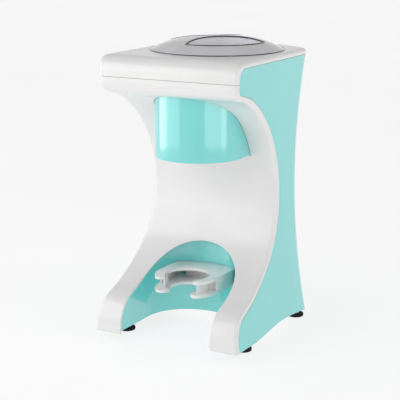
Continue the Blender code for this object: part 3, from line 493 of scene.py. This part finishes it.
def circuit_board(name):
    """Green lacquer over a pattern of copper tracks."""
    m = Shader(name)
    tracks = m.add("ShaderNodeTexBrick", offset=0.37)
    tracks.inputs["Scale"].default_value = 95
    tracks.inputs["Mortar Size"].default_value = 0.035
    tracks.inputs["Color1"].default_value = (0.012, 0.10, 0.035, 1)
    tracks.inputs["Color2"].default_value = (0.016, 0.13, 0.045, 1)
    tracks.inputs["Mortar"].default_value = (0.05, 0.26, 0.10, 1)
    turn = m.add("ShaderNodeMapping")
    turn.inputs["Rotation"].default_value = (math.pi / 2, 0, 0)
    m.links.new(m.place, turn.inputs["Vector"])
    m.links.new(turn.outputs["Vector"], tracks.inputs["Vector"])
    m.connect(tracks.outputs["Color"], "Base Color")
    m.connect(m.span(m.noise(300, 3), 0.3, 0.45), "Roughness")
    m.bump([(tracks.outputs["Fac"], 0.05 * MM, 0.5)])
    return m.material


WHITE = (0.80, 0.80, 0.795)
TEAL = (0.135, 0.670, 0.650)
LOOKS = {
    "white": moulded_plastic("white_gloss_moulding", WHITE, 0.24, (0.93, 0.93, 0.93)),
    "teal": moulded_plastic("aqua_gloss_moulding", TEAL, 0.24, (0.42, 0.84, 0.82),
                            coat=1.0, coat_ior=1.9),
    "smoke": clear_plastic("smoke_translucent_moulding", (0.80, 0.795, 0.815), 0.16, 0.26),
    # pocket finish: a lavender smoke tint, lightened as painted light against the pockets' shade
    "smoke_pocket_painted_light": clear_plastic("polished_smoke_painted_light", (0.95, 0.94, 0.99), 0.10, 0.06),
    # painted shade: a dark moulding for the lid's rim gap and the pocket outlines
    "painted_shade_edge": clear_plastic("smoke_painted_shade_edge", (0.045, 0.038, 0.075), 0.14, 0.1),
    "frost": clear_plastic("frosted_natural_moulding", (0.80, 0.82, 0.84), 0.34, 0.45),
    "rubber": soft_rubber("black_rubber", (0.008, 0.008, 0.009)),
    "steel": worked_metal("brushed_stainless_steel", (0.62, 0.62, 0.64), 0.26, (1, 0.05, 1)),
    "zinc": worked_metal("zinc_plated_steel", (0.50, 0.51, 0.53), 0.36, (1, 1, 1), 0.2),
    "nylon": moulded_plastic("natural_nylon", (0.78, 0.76, 0.67), 0.48, grain=700, coat=0.0),
    "black_plastic": moulded_plastic("black_engineering_plastic", (0.022, 0.022, 0.024), 0.42,
                                     (0.06, 0.06, 0.065), grain=900, coat=0.0),
    "board": circuit_board("green_circuit_board"),
    "bronze": worked_metal("sintered_bronze", (0.55, 0.37, 0.18), 0.42, (1, 1, 1), 0.25),
}
NODE_SLOTS = {entry["node"]: entry["material_slot"] for entry in frame["record"]["subparts"]}


# ---- pieces -------------------------------------------------------------------------------
SMOOTH_ANGLE = math.radians(32)


def add_piece(name, bm, nodes, body="housing", extra_looks=()):
    """A visible piece that stands for the CAD nodes named, in the first one's finish."""
    bmesh.ops.recalc_face_normals(bm, faces=bm.faces)
    mesh = bpy.data.meshes.new(name)
    bm.to_mesh(mesh)
    bm.free()
    piece = bpy.data.objects.new(name, mesh)
    bpy.context.scene.collection.objects.link(piece)
    slot = NODE_SLOTS[nodes[0]]
    for look in (slot, *extra_looks):
        mesh.materials.append(LOOKS[look])
    soften(piece)
    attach(piece, body)
    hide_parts(*nodes)
    return piece


def soften(piece):
    """Shade smoothly, except across edges sharper than the angle."""
    piece.data.shade_smooth()
    piece.data.set_sharp_from_angle(angle=SMOOTH_ANGLE)


def bake_modifiers(piece):
    """Replace a piece's mesh by the result of its modifiers."""
    bpy.context.view_layer.update()
    graph = bpy.context.evaluated_depsgraph_get()
    result = bpy.data.meshes.new_from_object(piece.evaluated_get(graph))
    old = piece.data
    piece.modifiers.clear()
    piece.data = result
    bpy.data.meshes.remove(old)
    soften(piece)


def combine(piece, tools, operation):
    """Apply closed meshes to a piece by a Boolean, and use the meshes up."""
    helpers = []
    for bm in tools:
        bmesh.ops.recalc_face_normals(bm, faces=bm.faces)
        mesh = bpy.data.meshes.new("helper")
        bm.to_mesh(mesh)
        bm.free()
        helper = bpy.data.objects.new("helper", mesh)
        bpy.context.scene.collection.objects.link(helper)
        modifier = piece.modifiers.new("helper", "BOOLEAN")
        modifier.operation = operation
        modifier.object = helper
        modifier.solver = "EXACT"
        helpers.append(helper)
    bake_modifiers(piece)
    for helper in helpers:
        mesh = helper.data
        bpy.data.objects.remove(helper)
        bpy.data.meshes.remove(mesh)


def cut(piece, *tools):
    combine(piece, tools, "DIFFERENCE")


def join(piece, *tools):
    combine(piece, tools, "UNION")


def bevel(piece, width, segments, angle):
    """Round a piece's edges that are sharper than an angle in degrees."""
    modifier = piece.modifiers.new("rounded_edges", "BEVEL")
    modifier.width = width
    modifier.segments = segments
    modifier.limit_method = "ANGLE"
    modifier.angle_limit = math.radians(angle)
    modifier.miter_outer = "MITER_ARC"
    bake_modifiers(piece)


def weld(piece, distance=0.01 * MM):
    """Merge the points that a Boolean leaves on top of each other."""
    bm = bmesh.new()
    bm.from_mesh(piece.data)
    bmesh.ops.remove_doubles(bm, verts=bm.verts, dist=distance)
    bmesh.ops.dissolve_degenerate(bm, edges=bm.edges, dist=distance)
    bm.to_mesh(piece.data)
    bm.free()
    soften(piece)


# ---- outer shells -------------------------------------------------------------------------
def side_path(z, front_y, inset):
    """Plan points of one side at height z, from the front edge round the rear corner."""
    corner, _ = rear_arcs(z, inset)
    front_x = half_width(z) - inset
    flat = [(front_x, front_y + (corner[0][1] - front_y) * k / 8) for k in range(8)]
    return flat + corner


def make_side_panel(name, side):
    """One aqua side; side is -1 for the left and 1 for the right."""
    least_step = 0.4 * MM
    edge = [p for p in offset_outline(FRONT, TRIM) if p[1] > SIDE_FOOT_Z]
    edge = [p for k, p in enumerate(edge) if k == 0 or edge[k - 1][1] - p[1] > least_step]
    outer, inner = [], []
    for y, z in edge:
        outer.append([(side * px, py, z) for px, py in side_path(z, y, 0)])
        inner.append([(side * px, py, z) for px, py in side_path(z, y, SHELL)])
        x, py, pz = outer[-1][0]
        outer[-1][0] = (x - side * SIDE_CREST, py, pz)
    panel = add_piece(name + "_skin", sheet(outer, inner), [name])
    arch = smooth_curve([(y * MM, z * MM) for y, z in SIDE_ARCH], 6)
    below_feet = -5 * MM
    arch = [(arch[0][0], below_feet)] + arch + [(arch[-1][0], below_feet)]
    cut(panel, prism(arch, -OUTSIDE_X, OUTSIDE_X, "X"))


def make_front_band():
    """The white front: underside of the nose, S curve and legs, with its arch and chute cut."""
    line = FRONT[SEAM_INDEX:]
    line[0] = (NOSE_Y, SEAM_Z - GAP)
    normals = inward_normals(line)
    normals[0] = (1, 0)

    def section(y, z, normal, inset):
        reach = half_width(z)
        roll = arc(ROLL - inset, (reach - ROLL, ROLL), 0, -math.pi / 2, 8)
        flat = [(reach - ROLL - (reach - ROLL) * k / 6, inset) for k in range(1, 6)]
        path = mirrored([(reach - inset, TRIM - GAP)] + roll + flat + [(0, inset)])
        return [(x, y + normal[0] * depth, z + normal[1] * depth) for x, depth in path]

    outer = [section(y, z, n, 0) for (y, z), n in zip(line, normals)]
    inner = [section(y, z, n, BAND_WALL) for (y, z), n in zip(line, normals)]
    band = add_piece("front_band_skin", sheet(outer, inner), ["front_band"])
    below_feet = -20 * MM
    arch = [(ARCH_HALF_WIDTH, below_feet)]
    arch += [(ARCH_HALF_WIDTH * math.cos(a), ARCH_SPRING + ARCH_RISE * math.sin(a))
             for a in [math.pi * k / 64 for k in range(65)]]
    arch.append((-ARCH_HALF_WIDTH, below_feet))
    arch_end, chute_end = 60 * MM, 40 * MM       # both lie behind the band
    clearance = 0.4 * MM
    cut(band, prism(arch, -OUTSIDE_Y, arch_end, "Y"),
        prism(chute_outline(clearance, chute_end), CHUTE_BOTTOM - clearance, CHUTE_CUT_TOP))


def make_top_cover():
    """A cap with a rolled top edge, kept only where it is outside the aqua panels."""
    just_below_top = BODY_TOP - 0.01 * MM

    def plan(z, inset):
        front_y = at_height(FRONT, min(z, just_below_top)) + inset
        rise = max(z - (BODY_TOP - COVER_ROLL), 0)
        pull = COVER_ROLL - math.sqrt(COVER_ROLL ** 2 - rise ** 2) + inset
        reach = half_width(z) - pull
        corner, crown = rear_arcs(z, pull)
        half = [(reach - ROLL * (1 - math.cos(a)), front_y + ROLL * (1 - math.sin(a)))
                for a in quarter_turn(8)[::-1]]
        return mirrored(half + corner + crown[1:])

    ceiling = BODY_TOP - SHELL
    heights = [SEAM_Z]
    heights += [BODY_TOP - NOSE_TOP_RADIUS * (1 - math.sin(a)) for a in quarter_turn(20)[:-1]]
    heights.append(BODY_TOP - 0.02 * MM)
    outer = [lifted(plan(z, 0), z) for z in heights]
    inner = [lifted(plan(z, SHELL), z) for z in heights if z < ceiling - 0.5 * MM]
    inner.append(lifted(plan(ceiling, SHELL), ceiling))
    cover = add_piece("top_cover_skin", loft(inner[::-1] + outer), ["top_cover"])
    below_cover = SEAM_Z - 20 * MM
    keep_out = [p for p in offset_outline(FRONT, TRIM - GAP) if p[1] > below_cover]
    keep_out = [(OUTSIDE_Y, keep_out[0][1])] + keep_out + [(OUTSIDE_Y, below_cover)]
    cut(cover, prism(keep_out, -OUTSIDE_X, OUTSIDE_X, "X"),
        cylinder(LID_OPENING, BELOW_LID, ABOVE_LID, (0, LID_Y), 128))


def make_rear_cover():
    """The crowned back, with its vents and the seat and hole of the cord gland."""
    levels, columns = 26, 28
    top = BODY_TOP - TRIM
    outer, inner = [], []
    for k in range(levels):
        z = REAR_FOOT_Z + (top - REAR_FOOT_Z) * k / (levels - 1)
        for grid, inset in ((outer, 0), (inner, SHELL)):
            _, crown = rear_arcs(z, inset)
            seam = GAP / (REAR_CROWN - inset)
            crown_y = rear_reach(z) - REAR_CROWN
            start = math.atan2(crown[0][1] - crown_y, crown[0][0]) + seam
            back = arc(REAR_CROWN - inset, (0, crown_y), start, math.pi - start, columns)
            grid.append(lifted(back, z))
    cover = add_piece("rear_cover_skin", sheet(outer, inner), ["rear_cover"])
    seat_root = rear_reach(GLAND_Z) - 2 * MM
    seat_face = rear_reach(GLAND_Z - 14 * MM) + 0.5 * MM
    join(cover, prism(circle(GLAND_SEAT, (0, GLAND_Z), 64), seat_root, seat_face, "Y"))
    vent_start, hole_start = 70 * MM, 90 * MM    # both lie inside the body
    corner_radius = VENT_HALF_SIZE[1] - 0.05 * MM
    tools = []
    for row in range(VENT_ROWS):
        vent = rounded_rectangle(*VENT_HALF_SIZE, corner_radius,
                                 (0, VENT_Z + VENT_PITCH * row), 6)
        tools.append(prism(vent, vent_start, OUTSIDE_Y, "Y"))
    hole = prism(circle(GLAND_HOLE, (0, GLAND_Z), 48), hole_start, OUTSIDE_Y, "Y")
    cut(cover, *tools, hole)


def recess_outline(inset, front_y):
    """Plan of the wall behind the arch: straight sides and a half-elliptical back."""
    reach = RECESS_HALF_WIDTH + inset
    side = [(reach, front_y + (RECESS_Y - front_y) * k / 8) for k in range(8)]
    back = [(reach * math.cos(a), RECESS_Y + (RECESS_DEPTH + inset) * math.sin(a))
            for a in quarter_turn(30)]
    return mirrored(side + back)


def make_recess_wall():
    """The aqua wall behind the arch, its top edge hidden behind the white front."""
    behind_band = offset_outline(FRONT, BAND_WALL + 0.5 * MM)

    def height_at(y):
        for (y0, z0), (y1, z1) in zip(behind_band, behind_band[1:]):
            if z0 < WAIST_Z and y0 >= y >= y1:
                return z0 + (z1 - z0) * (y0 - y) / (y0 - y1)
        return RECESS_FRONT_TOP

    rows = 12
    grids = []
    for inset in (0, SHELL):
        grid = []
        for x, y in recess_outline(inset, RECESS_FRONT_Y):
            spread = min(abs(x) / RECESS_HALF_WIDTH, 1)
            low = RECESS_LOW_EDGE + RECESS_LOW_RISE * math.sqrt(1 - spread ** 2)
            high = height_at(y)
            grid.append([(x, y, low + (high - low) * k / (rows - 1)) for k in range(rows)])
        grids.append(grid)
    add_piece("recess_wall_skin", sheet(*grids), ["recess_wall"])


def chute_outline(grow, back_y, steps=72):
    """Open plan outline of the chute, from back_y round the front and back again."""
    reach = CHUTE_HALF_WIDTH + grow
    return [(reach, back_y)] + arc(reach, (0, CHUTE_Y), 0, -math.pi, steps) + [(-reach, back_y)]


def make_chute():
    """Round chute housing with a softly rounded lower lip."""
    lip = 1.1 * MM
    middle = CHUTE_BOTTOM + 30 * MM
    profile = [(0, CHUTE_TOP), (0, middle), (0, CHUTE_BOTTOM + lip)]
    profile += [(lip - lip * math.cos(a), CHUTE_BOTTOM + lip - lip * math.sin(a))
                for a in quarter_turn(5)[1:]]
    profile += [(SHELL - lip + lip * math.sin(a), CHUTE_BOTTOM + lip - lip * math.cos(a))
                for a in quarter_turn(5)]
    profile += [(SHELL, middle), (SHELL, CHUTE_TOP)]
    rings = [lifted(chute_outline(-inset, CHUTE_REAR_Y), z) for inset, z in profile]
    bm = bmesh.new()
    loops = [[bm.verts.new(p) for p in points] for points in rings]
    for a, b in zip(loops, loops[1:] + loops[:1]):
        for k in range(len(a) - 1):
            bm.faces.new((a[k], a[k + 1], b[k + 1], b[k]))
    bm.faces.new([loop[0] for loop in loops])
    bm.faces.new([loop[-1] for loop in loops])
    add_piece("chute_housing_skin", bm, ["chute_housing"])


# ---- lid ----------------------------------------------------------------------------------
def dome_height(radius):
    """Height of the lid's outer surface at a distance from its middle."""
    return LID_EDGE_Z + DOME_RISE * (1 - (radius / LID_RADIUS) ** 3)


def pocket_outline(side, grow, steps=36):
    """Plan outline of one finger pocket: a round lip and a wall bowed towards the grip."""
    c, s = math.cos(GRIP_ANGLE), math.sin(GRIP_ANGLE)
    reach = POCKET_RADIUS + grow
    corner = POCKET_CORNER - grow / reach * 0.6
    lip = arc(reach, (0, 0), corner, math.pi - corner, steps)
    end_along, end_across = lip[0]
    waist = GRIP_HALF_WIDTH - grow
    wall = []
    for k in range(1, steps):
        along = end_along * (2 * k / steps - 1)
        wall.append((along, waist + (end_across - waist) * (along / end_along) ** 2))
    return [(side * (along * c + across * s), LID_Y + side * (along * s - across * c))
            for along, across in lip + wall]


def make_lid():
    """The domed lid, with its collar, its rim and the two sunken finger pockets."""
    middle = 8 * MM
    radii = [middle + (LID_RADIUS - middle) * k / 24 for k in range(25)]
    edge, corner = 0.5 * MM, 0.1 * MM            # size of the rounded edge, and its middle
    outer = [(r, dome_height(r)) for r in (*radii[:-1], LID_RADIUS - edge)]
    outer += [(LID_RADIUS - corner, LID_EDGE_Z - corner), (LID_RADIUS, LID_EDGE_Z - edge)]
    under = [(min(r, LID_RIM_INNER), dome_height(min(r, LID_RIM_INNER)) - LID_WALL)
             for r in radii[:-2]]
    rim = [(LID_RADIUS, LID_RIM_Z), (LID_RIM_INNER, LID_RIM_Z)]

    def turned(profile):
        return loft([lifted(circle(r, (0, LID_Y), LID_SEGMENTS), z) for r, z in profile])

    above_dome = 410 * MM
    blocks = [prism(pocket_outline(side, LID_WALL), POCKET_FLOOR - LID_WALL, above_dome)
              for side in (1, -1)]
    lid = add_piece("lid_shell", blocks[0], ["lid"], "lid", ("smoke_pocket_painted_light",))
    join(lid, blocks[1])
    inside = [(r, dome_height(r) - POCKET_EDGE) for r in radii]
    combine(lid, [turned(inside + [(LID_RADIUS - 1 * MM, BELOW_LID)])], "INTERSECT")
    join(lid, turned(outer + rim + under[::-1]),
         ring(*LID_COLLAR, *LID_COLLAR_LEVELS, (0, LID_Y), LID_SEGMENTS))
    cut(lid, *[prism(pocket_outline(side, 0), POCKET_FLOOR, ABOVE_LID) for side in (1, -1)])
    polish_and_paint_light_in_pockets(lid)


def polish_and_paint_light_in_pockets(lid):
    """Give the inside of the finger pockets their polished finish, in a lavender tint lightened as
    painted light against the pockets' shade.
    """
    weld(lid)
    outlines = [[Vector(p) for p in pocket_outline(side, 0)] for side in (1, -1)]
    on_outline = 0.05 * MM
    below_floor = POCKET_FLOOR - 0.1 * MM
    for face in lid.data.polygons:
        flat = face.center.xy
        radius = (flat - Vector((0, LID_Y))).length
        sunken = face.center.z < dome_height(radius) - POCKET_EDGE
        if not sunken or face.center.z < below_floor:
            continue
        is_floor = face.normal.z > 0.9
        if is_floor or min(distance_to(flat, outline) for outline in outlines) < on_outline:
            face.material_index = 1


def distance_to(point, outline):
    """Distance from a plan point to a closed outline."""
    shortest = 1.0
    for a, b in zip(outline, outline[1:] + outline[:1]):
        along = (b - a).normalized()
        reach = min(max((point - a).dot(along), 0), (b - a).length)
        shortest = min(shortest, (point - a - along * reach).length)
    return shortest


def make_lid_painted_shade():
    """Dark rounded beads round the finger pockets and the rim: painted shade for the rim's shadow
    gap and the dark outlines at the pocket edges.
    """
    painted_shade_lines = ((1, "lid_pocket_painted_shade_front", 1.1 * MM), (-1, "lid_pocket_painted_shade_rear", 0.6 * MM))
    sunk = 0.15 * MM
    for side, name, radius in painted_shade_lines:
        path = [Vector((x, y, dome_height(math.hypot(x, y - LID_Y)) - sunk))
                for x, y in pocket_outline(side, 0)]
        painted_shade_bead(name, path, radius)
    inset = 0.4 * MM
    rim = [Vector((x, y, LID_EDGE_Z + inset))
           for x, y in circle(LID_RADIUS - inset, (0, LID_Y), 180)]
    painted_shade_bead("lid_rim_painted_shade", rim, 0.85 * MM)


def painted_shade_bead(name, path, radius, sides=10):
    """A dark bead of painted shade, with a round section, along a closed path on the lid."""
    count = len(path)
    rings = []
    for k, point in enumerate(path):
        along = (path[(k + 1) % count] - path[k - 1]).normalized()
        across = along.cross(Vector((0, 0, 1))).normalized()
        up = across.cross(along)
        rings.append([point + across * (radius * math.cos(2 * math.pi * n / sides))
                      + up * (radius * math.sin(2 * math.pi * n / sides))
                      for n in range(sides)])
    bead = add_piece(name, closed_tube(rings), ["lid"], "lid")
    # the bead's dark colour is painted shade
    bead.data.materials[0] = LOOKS["painted_shade_edge"]


# ---- small parts --------------------------------------------------------------------------
FEET = [node for node in NODE_SLOTS
        if node.startswith("foot_") and not node.startswith("foot_screw")]
SHELLS = ["top_cover", "front_band", "left_side_panel", "right_side_panel", "rear_cover",
          "recess_wall", "chute_housing", "cone_holder", "lid"]
AS_IN_CAD = ["interlock_spring", "cooling_fan", "large_gear", "pinion", "ice_chute"]
EDGE_RADII = {"base_plate": 0.6 * MM, "ice_chamber": 0.5 * MM, "motor_can": 1.2 * MM,
              "blade_disc": 0.25 * MM, "microswitch": 0.6 * MM, "cord_gland": 0.6 * MM}
EDGE_RADIUS = 0.3 * MM         # of every other small part


def middle_of(low, high):
    """Plan middle of a box and half its width."""
    return ((low[0] + high[0]) / 2, (low[1] + high[1]) / 2), (high[0] - low[0]) / 2


def make_feet():
    """Rubber pads with a rounded edge, a ring groove and a counterbored screw hole."""
    hole = 1.8 * MM
    head_hole = 4.2 * MM
    head_seat = 3 * MM
    chamfer = 0.4 * MM
    edge = 1.2 * MM
    groove = ((6.4, 0), (6.8, 0.5), (7.8, 0.5), (8.2, 0))        # radius and z, in millimetres
    for node in FEET:
        low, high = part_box(node)
        centre, reach = middle_of(low, high)
        top = high[2]
        profile = [(hole, head_seat), (head_hole, head_seat), (head_hole, chamfer),
                   (head_hole + chamfer, 0)]
        profile += [(r * MM, z * MM) for r, z in groove]
        profile += [(reach - edge + edge * math.sin(a), edge - edge * math.cos(a))
                    for a in quarter_turn(5)]
        profile += [(reach - edge + edge * math.cos(a), top - edge + edge * math.sin(a))
                    for a in quarter_turn(5)]
        profile.append((hole, top))
        add_piece(node + "_pad", spun(profile, centre, 64), [node])


def holder_plan(bore, steps=40):
    """C-shaped plan outline: round tips at the front, a back that follows the recess wall."""
    reach = HOLDER_HALF_WIDTH
    turn = HOLDER_MOUTH - math.pi / 2
    middle = (reach + bore) / 2
    tip = arc((reach - bore) / 2,
              (middle * math.cos(turn), HOLDER_Y + middle * math.sin(turn)),
              turn - math.pi, turn, 20)
    outer = arc(reach, (0, HOLDER_Y), turn, 0, 24)
    back = []
    back_y = RECESS_Y - HOLDER_CLEARANCE
    back_steps = 16
    for k in range(back_steps):
        x = reach * (1 - k / back_steps)
        back.append((x, back_y + RECESS_DEPTH * math.sqrt(1 - (x / RECESS_HALF_WIDTH) ** 2)))
    full = mirrored(outer + back + [(0, back_y + RECESS_DEPTH)])
    inner = arc(bore, (0, HOLDER_Y), -math.pi / 2 - HOLDER_MOUTH,
                -5 * math.pi / 2 + HOLDER_MOUTH, 2 * steps)
    return full + [(-x, y) for x, y in tip[-2:0:-1]] + inner + tip[1:-1]


def make_cone_holder():
    """Two C-shaped plates joined by side walls, a back wall and a wall round the bore."""
    low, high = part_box("cone_holder")[0][2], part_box("cone_holder")[1][2] - HOLDER_PLATE
    wall_levels = (low + HOLDER_PLATE / 2, high + HOLDER_PLATE / 2)
    holder = add_piece("cone_holder_body",
                       prism(holder_plan(HOLDER_BORES[1]), high, high + HOLDER_PLATE),
                       ["cone_holder"], "cone_holder")
    tools = [prism(holder_plan(HOLDER_BORES[0]), low, low + HOLDER_PLATE)]
    bore = HOLDER_BORES[1] + OVERLAP
    start, end = HOLDER_MOUTH - math.pi / 2, math.radians(-2)    # from a tip to the side wall
    curved = arc(bore, (0, HOLDER_Y), start, end, 24)
    curved += arc(bore + HOLDER_WALL, (0, HOLDER_Y), end, start, 24)
    for side in (1, -1):
        x0, x1 = sorted((side * (HOLDER_HALF_WIDTH - HOLDER_WALL),
                         side * (HOLDER_HALF_WIDTH - OVERLAP)))
        tools.append(box(x0, x1, *HOLDER_SIDE, *wall_levels))
        tools.append(prism([(side * x, y) for x, y in curved], *wall_levels))
    tools.append(box(-HOLDER_BACK_REACH, HOLDER_BACK_REACH, *HOLDER_BACK, *wall_levels))
    join(holder, *tools)
    weld(holder)
    bevel(holder, 0.5 * MM, segments=3, angle=50)


def refine(node, width, body):
    """A copy of a CAD node with its flat faces merged and its edges rounded."""
    bm = bmesh.new()
    bm.from_mesh(frame["nodes"][node].data)
    bmesh.ops.remove_doubles(bm, verts=bm.verts, dist=0.005 * MM)
    bmesh.ops.dissolve_limit(bm, angle_limit=math.radians(0.5), verts=bm.verts, edges=bm.edges)
    piece = add_piece(node + "_detail", bm, [node], body)
    bevel(piece, width, segments=2, angle=40)
    return piece


def body_of(node):
    """The moving body that holds a node."""
    for body, nodes in frame["record"]["behaviour"]["bodies"].items():
        if node in nodes:
            return body
    return "housing"


def cross_slot(piece, centre, top, reach, depth):
    """Cut a cross recess into a screw head whose flat face is at height top."""
    arm, half = 0.6 * reach, 0.14 * reach
    low, high = sorted((top - depth, top + depth))
    x, y = centre
    cut(piece, box(x - arm, x + arm, y - half, y + half, low, high),
        box(x - half, x + half, y - arm, y + arm, low, high))


def make_small_parts():
    """Every node that has no shell of its own: refined, or left as the CAD model has it."""
    for node in NODE_SLOTS:
        if node in SHELLS or node in FEET:
            continue
        if node in AS_IN_CAD:
            materials = frame["nodes"][node].data.materials
            materials.clear()
            materials.append(LOOKS[NODE_SLOTS[node]])
            continue
        piece = refine(node, EDGE_RADII.get(node, EDGE_RADIUS), body_of(node))
        low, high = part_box(node)
        centre, reach = middle_of(low, high)
        if node.startswith("foot_screw"):
            cross_slot(piece, centre, low[2], reach, 1.1 * MM)
        elif "_screw_" in node:
            cross_slot(piece, centre, high[2], reach, 1.0 * MM)


make_side_panel("left_side_panel", -1)
make_side_panel("right_side_panel", 1)
make_front_band()
make_top_cover()
make_rear_cover()
make_recess_wall()
make_chute()
make_lid()
make_lid_painted_shade()
make_feet()
make_cone_holder()
make_small_parts()


# ---- studio -------------------------------------------------------------------------------
FLOOR_HALF = 16
FLOOR_GLOW = 0.78
SKY_HORIZON = 0.90
SKY_ZENITH = 0.53
SKY_FADE = 0.35                # sine of the elevation at which the sky's fade ends
SOFTBOX_REACH = 1.05           # distance of the upright softboxes from the chute
SOFTBOX_HEIGHT = 1.08
SOFTBOX_Z = SOFTBOX_HEIGHT / 2 + 20 * MM
# Name, direction from the chute in degrees round from +X, width, radiance, and whether the
# light falls on matt surfaces too or only shows as a reflection.
SOFTBOXES = [("left_softbox", -165, 0.55, 2.00, False), ("left_wing", -131, 0.70, 0.75, True),
             ("right_wing", -29, 0.75, 0.95, False), ("right_softbox", 0, 0.30, 1.60, True)]
KEY_PLACE = (-1.00, -1.35, 0.98)
KEY_TARGET = (0, 0, 0.22)
KEY_SIZE = (1.9, 1.4)
KEY_RADIANCE = 0.95
CAMERA_PLACE = (0.7904, -1.4802, 0.5655)
CAMERA_TARGET = (-0.0045, -0.0226, 0.1821)
CAMERA_LENS = 112.64           # millimetres, on a 36 mm sensor


def make_floor():
    """A floor bright mostly by its own glow, so that the machine's colours don't stain it."""
    m = Shader("studio_floor")
    base = m.mix(m.span(m.noise(2, 3), 0.0, 1.0), (0.20, 0.20, 0.20), (0.23, 0.23, 0.23))
    m.connect(base, "Base Color")
    m.set(Roughness=0.7, Specular_IOR_Level=0.1, Emission_Color=(1, 1, 1, 1),
          Emission_Strength=FLOOR_GLOW)
    bm = bmesh.new()
    bm.faces.new([bm.verts.new((FLOOR_HALF * x, FLOOR_HALF * y, 0))
                  for x, y in ((-1, -1), (1, -1), (1, 1), (-1, 1))])
    mesh = bpy.data.meshes.new("studio_floor")
    bm.to_mesh(mesh)
    bm.free()
    mesh.materials.append(m.material)
    floor = bpy.data.objects.new("studio_floor", mesh)
    bpy.context.scene.collection.objects.link(floor)


def make_world():
    """White surroundings that darken from the horizon upwards."""
    world = bpy.data.worlds.new("studio")
    bpy.context.scene.world = world
    world.use_nodes = True
    nodes, links = world.node_tree.nodes, world.node_tree.links
    background = nodes["Background"]
    place = nodes.new("ShaderNodeTexCoord")
    split = nodes.new("ShaderNodeSeparateXYZ")
    links.new(place.outputs["Generated"], split.inputs[0])
    shade = nodes.new("ShaderNodeMapRange")
    shade.inputs["From Min"].default_value = 0.0
    shade.inputs["From Max"].default_value = SKY_FADE
    shade.inputs["To Min"].default_value = SKY_HORIZON
    shade.inputs["To Max"].default_value = SKY_ZENITH
    links.new(split.outputs["Z"], shade.inputs["Value"])
    links.new(shade.outputs["Result"], background.inputs["Strength"])
    background.inputs["Color"].default_value = (1, 1, 1, 1)


def softbox(name, location, target, width, height, radiance, lights_matt=True):
    """A rectangular light that is itself out of sight."""
    light = bpy.data.lights.new(name, "AREA")
    light.shape = "RECTANGLE"
    light.size = width
    light.size_y = height
    light.energy = radiance * math.pi * width * height
    lamp = bpy.data.objects.new(name, light)
    lamp.location = location
    aim = Vector(target) - Vector(location)
    lamp.rotation_euler = aim.to_track_quat("-Z", "Y").to_euler()
    lamp.visible_camera = False
    lamp.visible_diffuse = lights_matt
    bpy.context.scene.collection.objects.link(lamp)


def make_lights():
    """Four upright softboxes round the chute, for its long highlights, and one front key."""
    for name, angle, width, radiance, lights_matt in SOFTBOXES:
        turn = math.radians(angle)
        place = (SOFTBOX_REACH * math.cos(turn), CHUTE_Y + SOFTBOX_REACH * math.sin(turn),
                 SOFTBOX_Z)
        softbox(name, place, (0, CHUTE_Y, SOFTBOX_Z), width, SOFTBOX_HEIGHT, radiance,
                lights_matt)
    softbox("front_key", KEY_PLACE, KEY_TARGET, *KEY_SIZE, KEY_RADIANCE)


def make_camera():
    """The photo's view of the machine, from the front right and a little above."""
    camera = bpy.data.cameras.new("camera")
    camera.sensor_width = 36
    camera.lens = CAMERA_LENS
    camera.clip_end = 60
    holder = bpy.data.objects.new("camera", camera)
    holder.location = CAMERA_PLACE
    aim = Vector(CAMERA_TARGET) - holder.location
    holder.rotation_euler = aim.to_track_quat("-Z", "Y").to_euler()
    bpy.context.scene.collection.objects.link(holder)
    bpy.context.scene.camera = holder


make_floor()
make_world()
make_lights()
make_camera()
bpy.context.scene.view_settings.view_transform = "Standard"
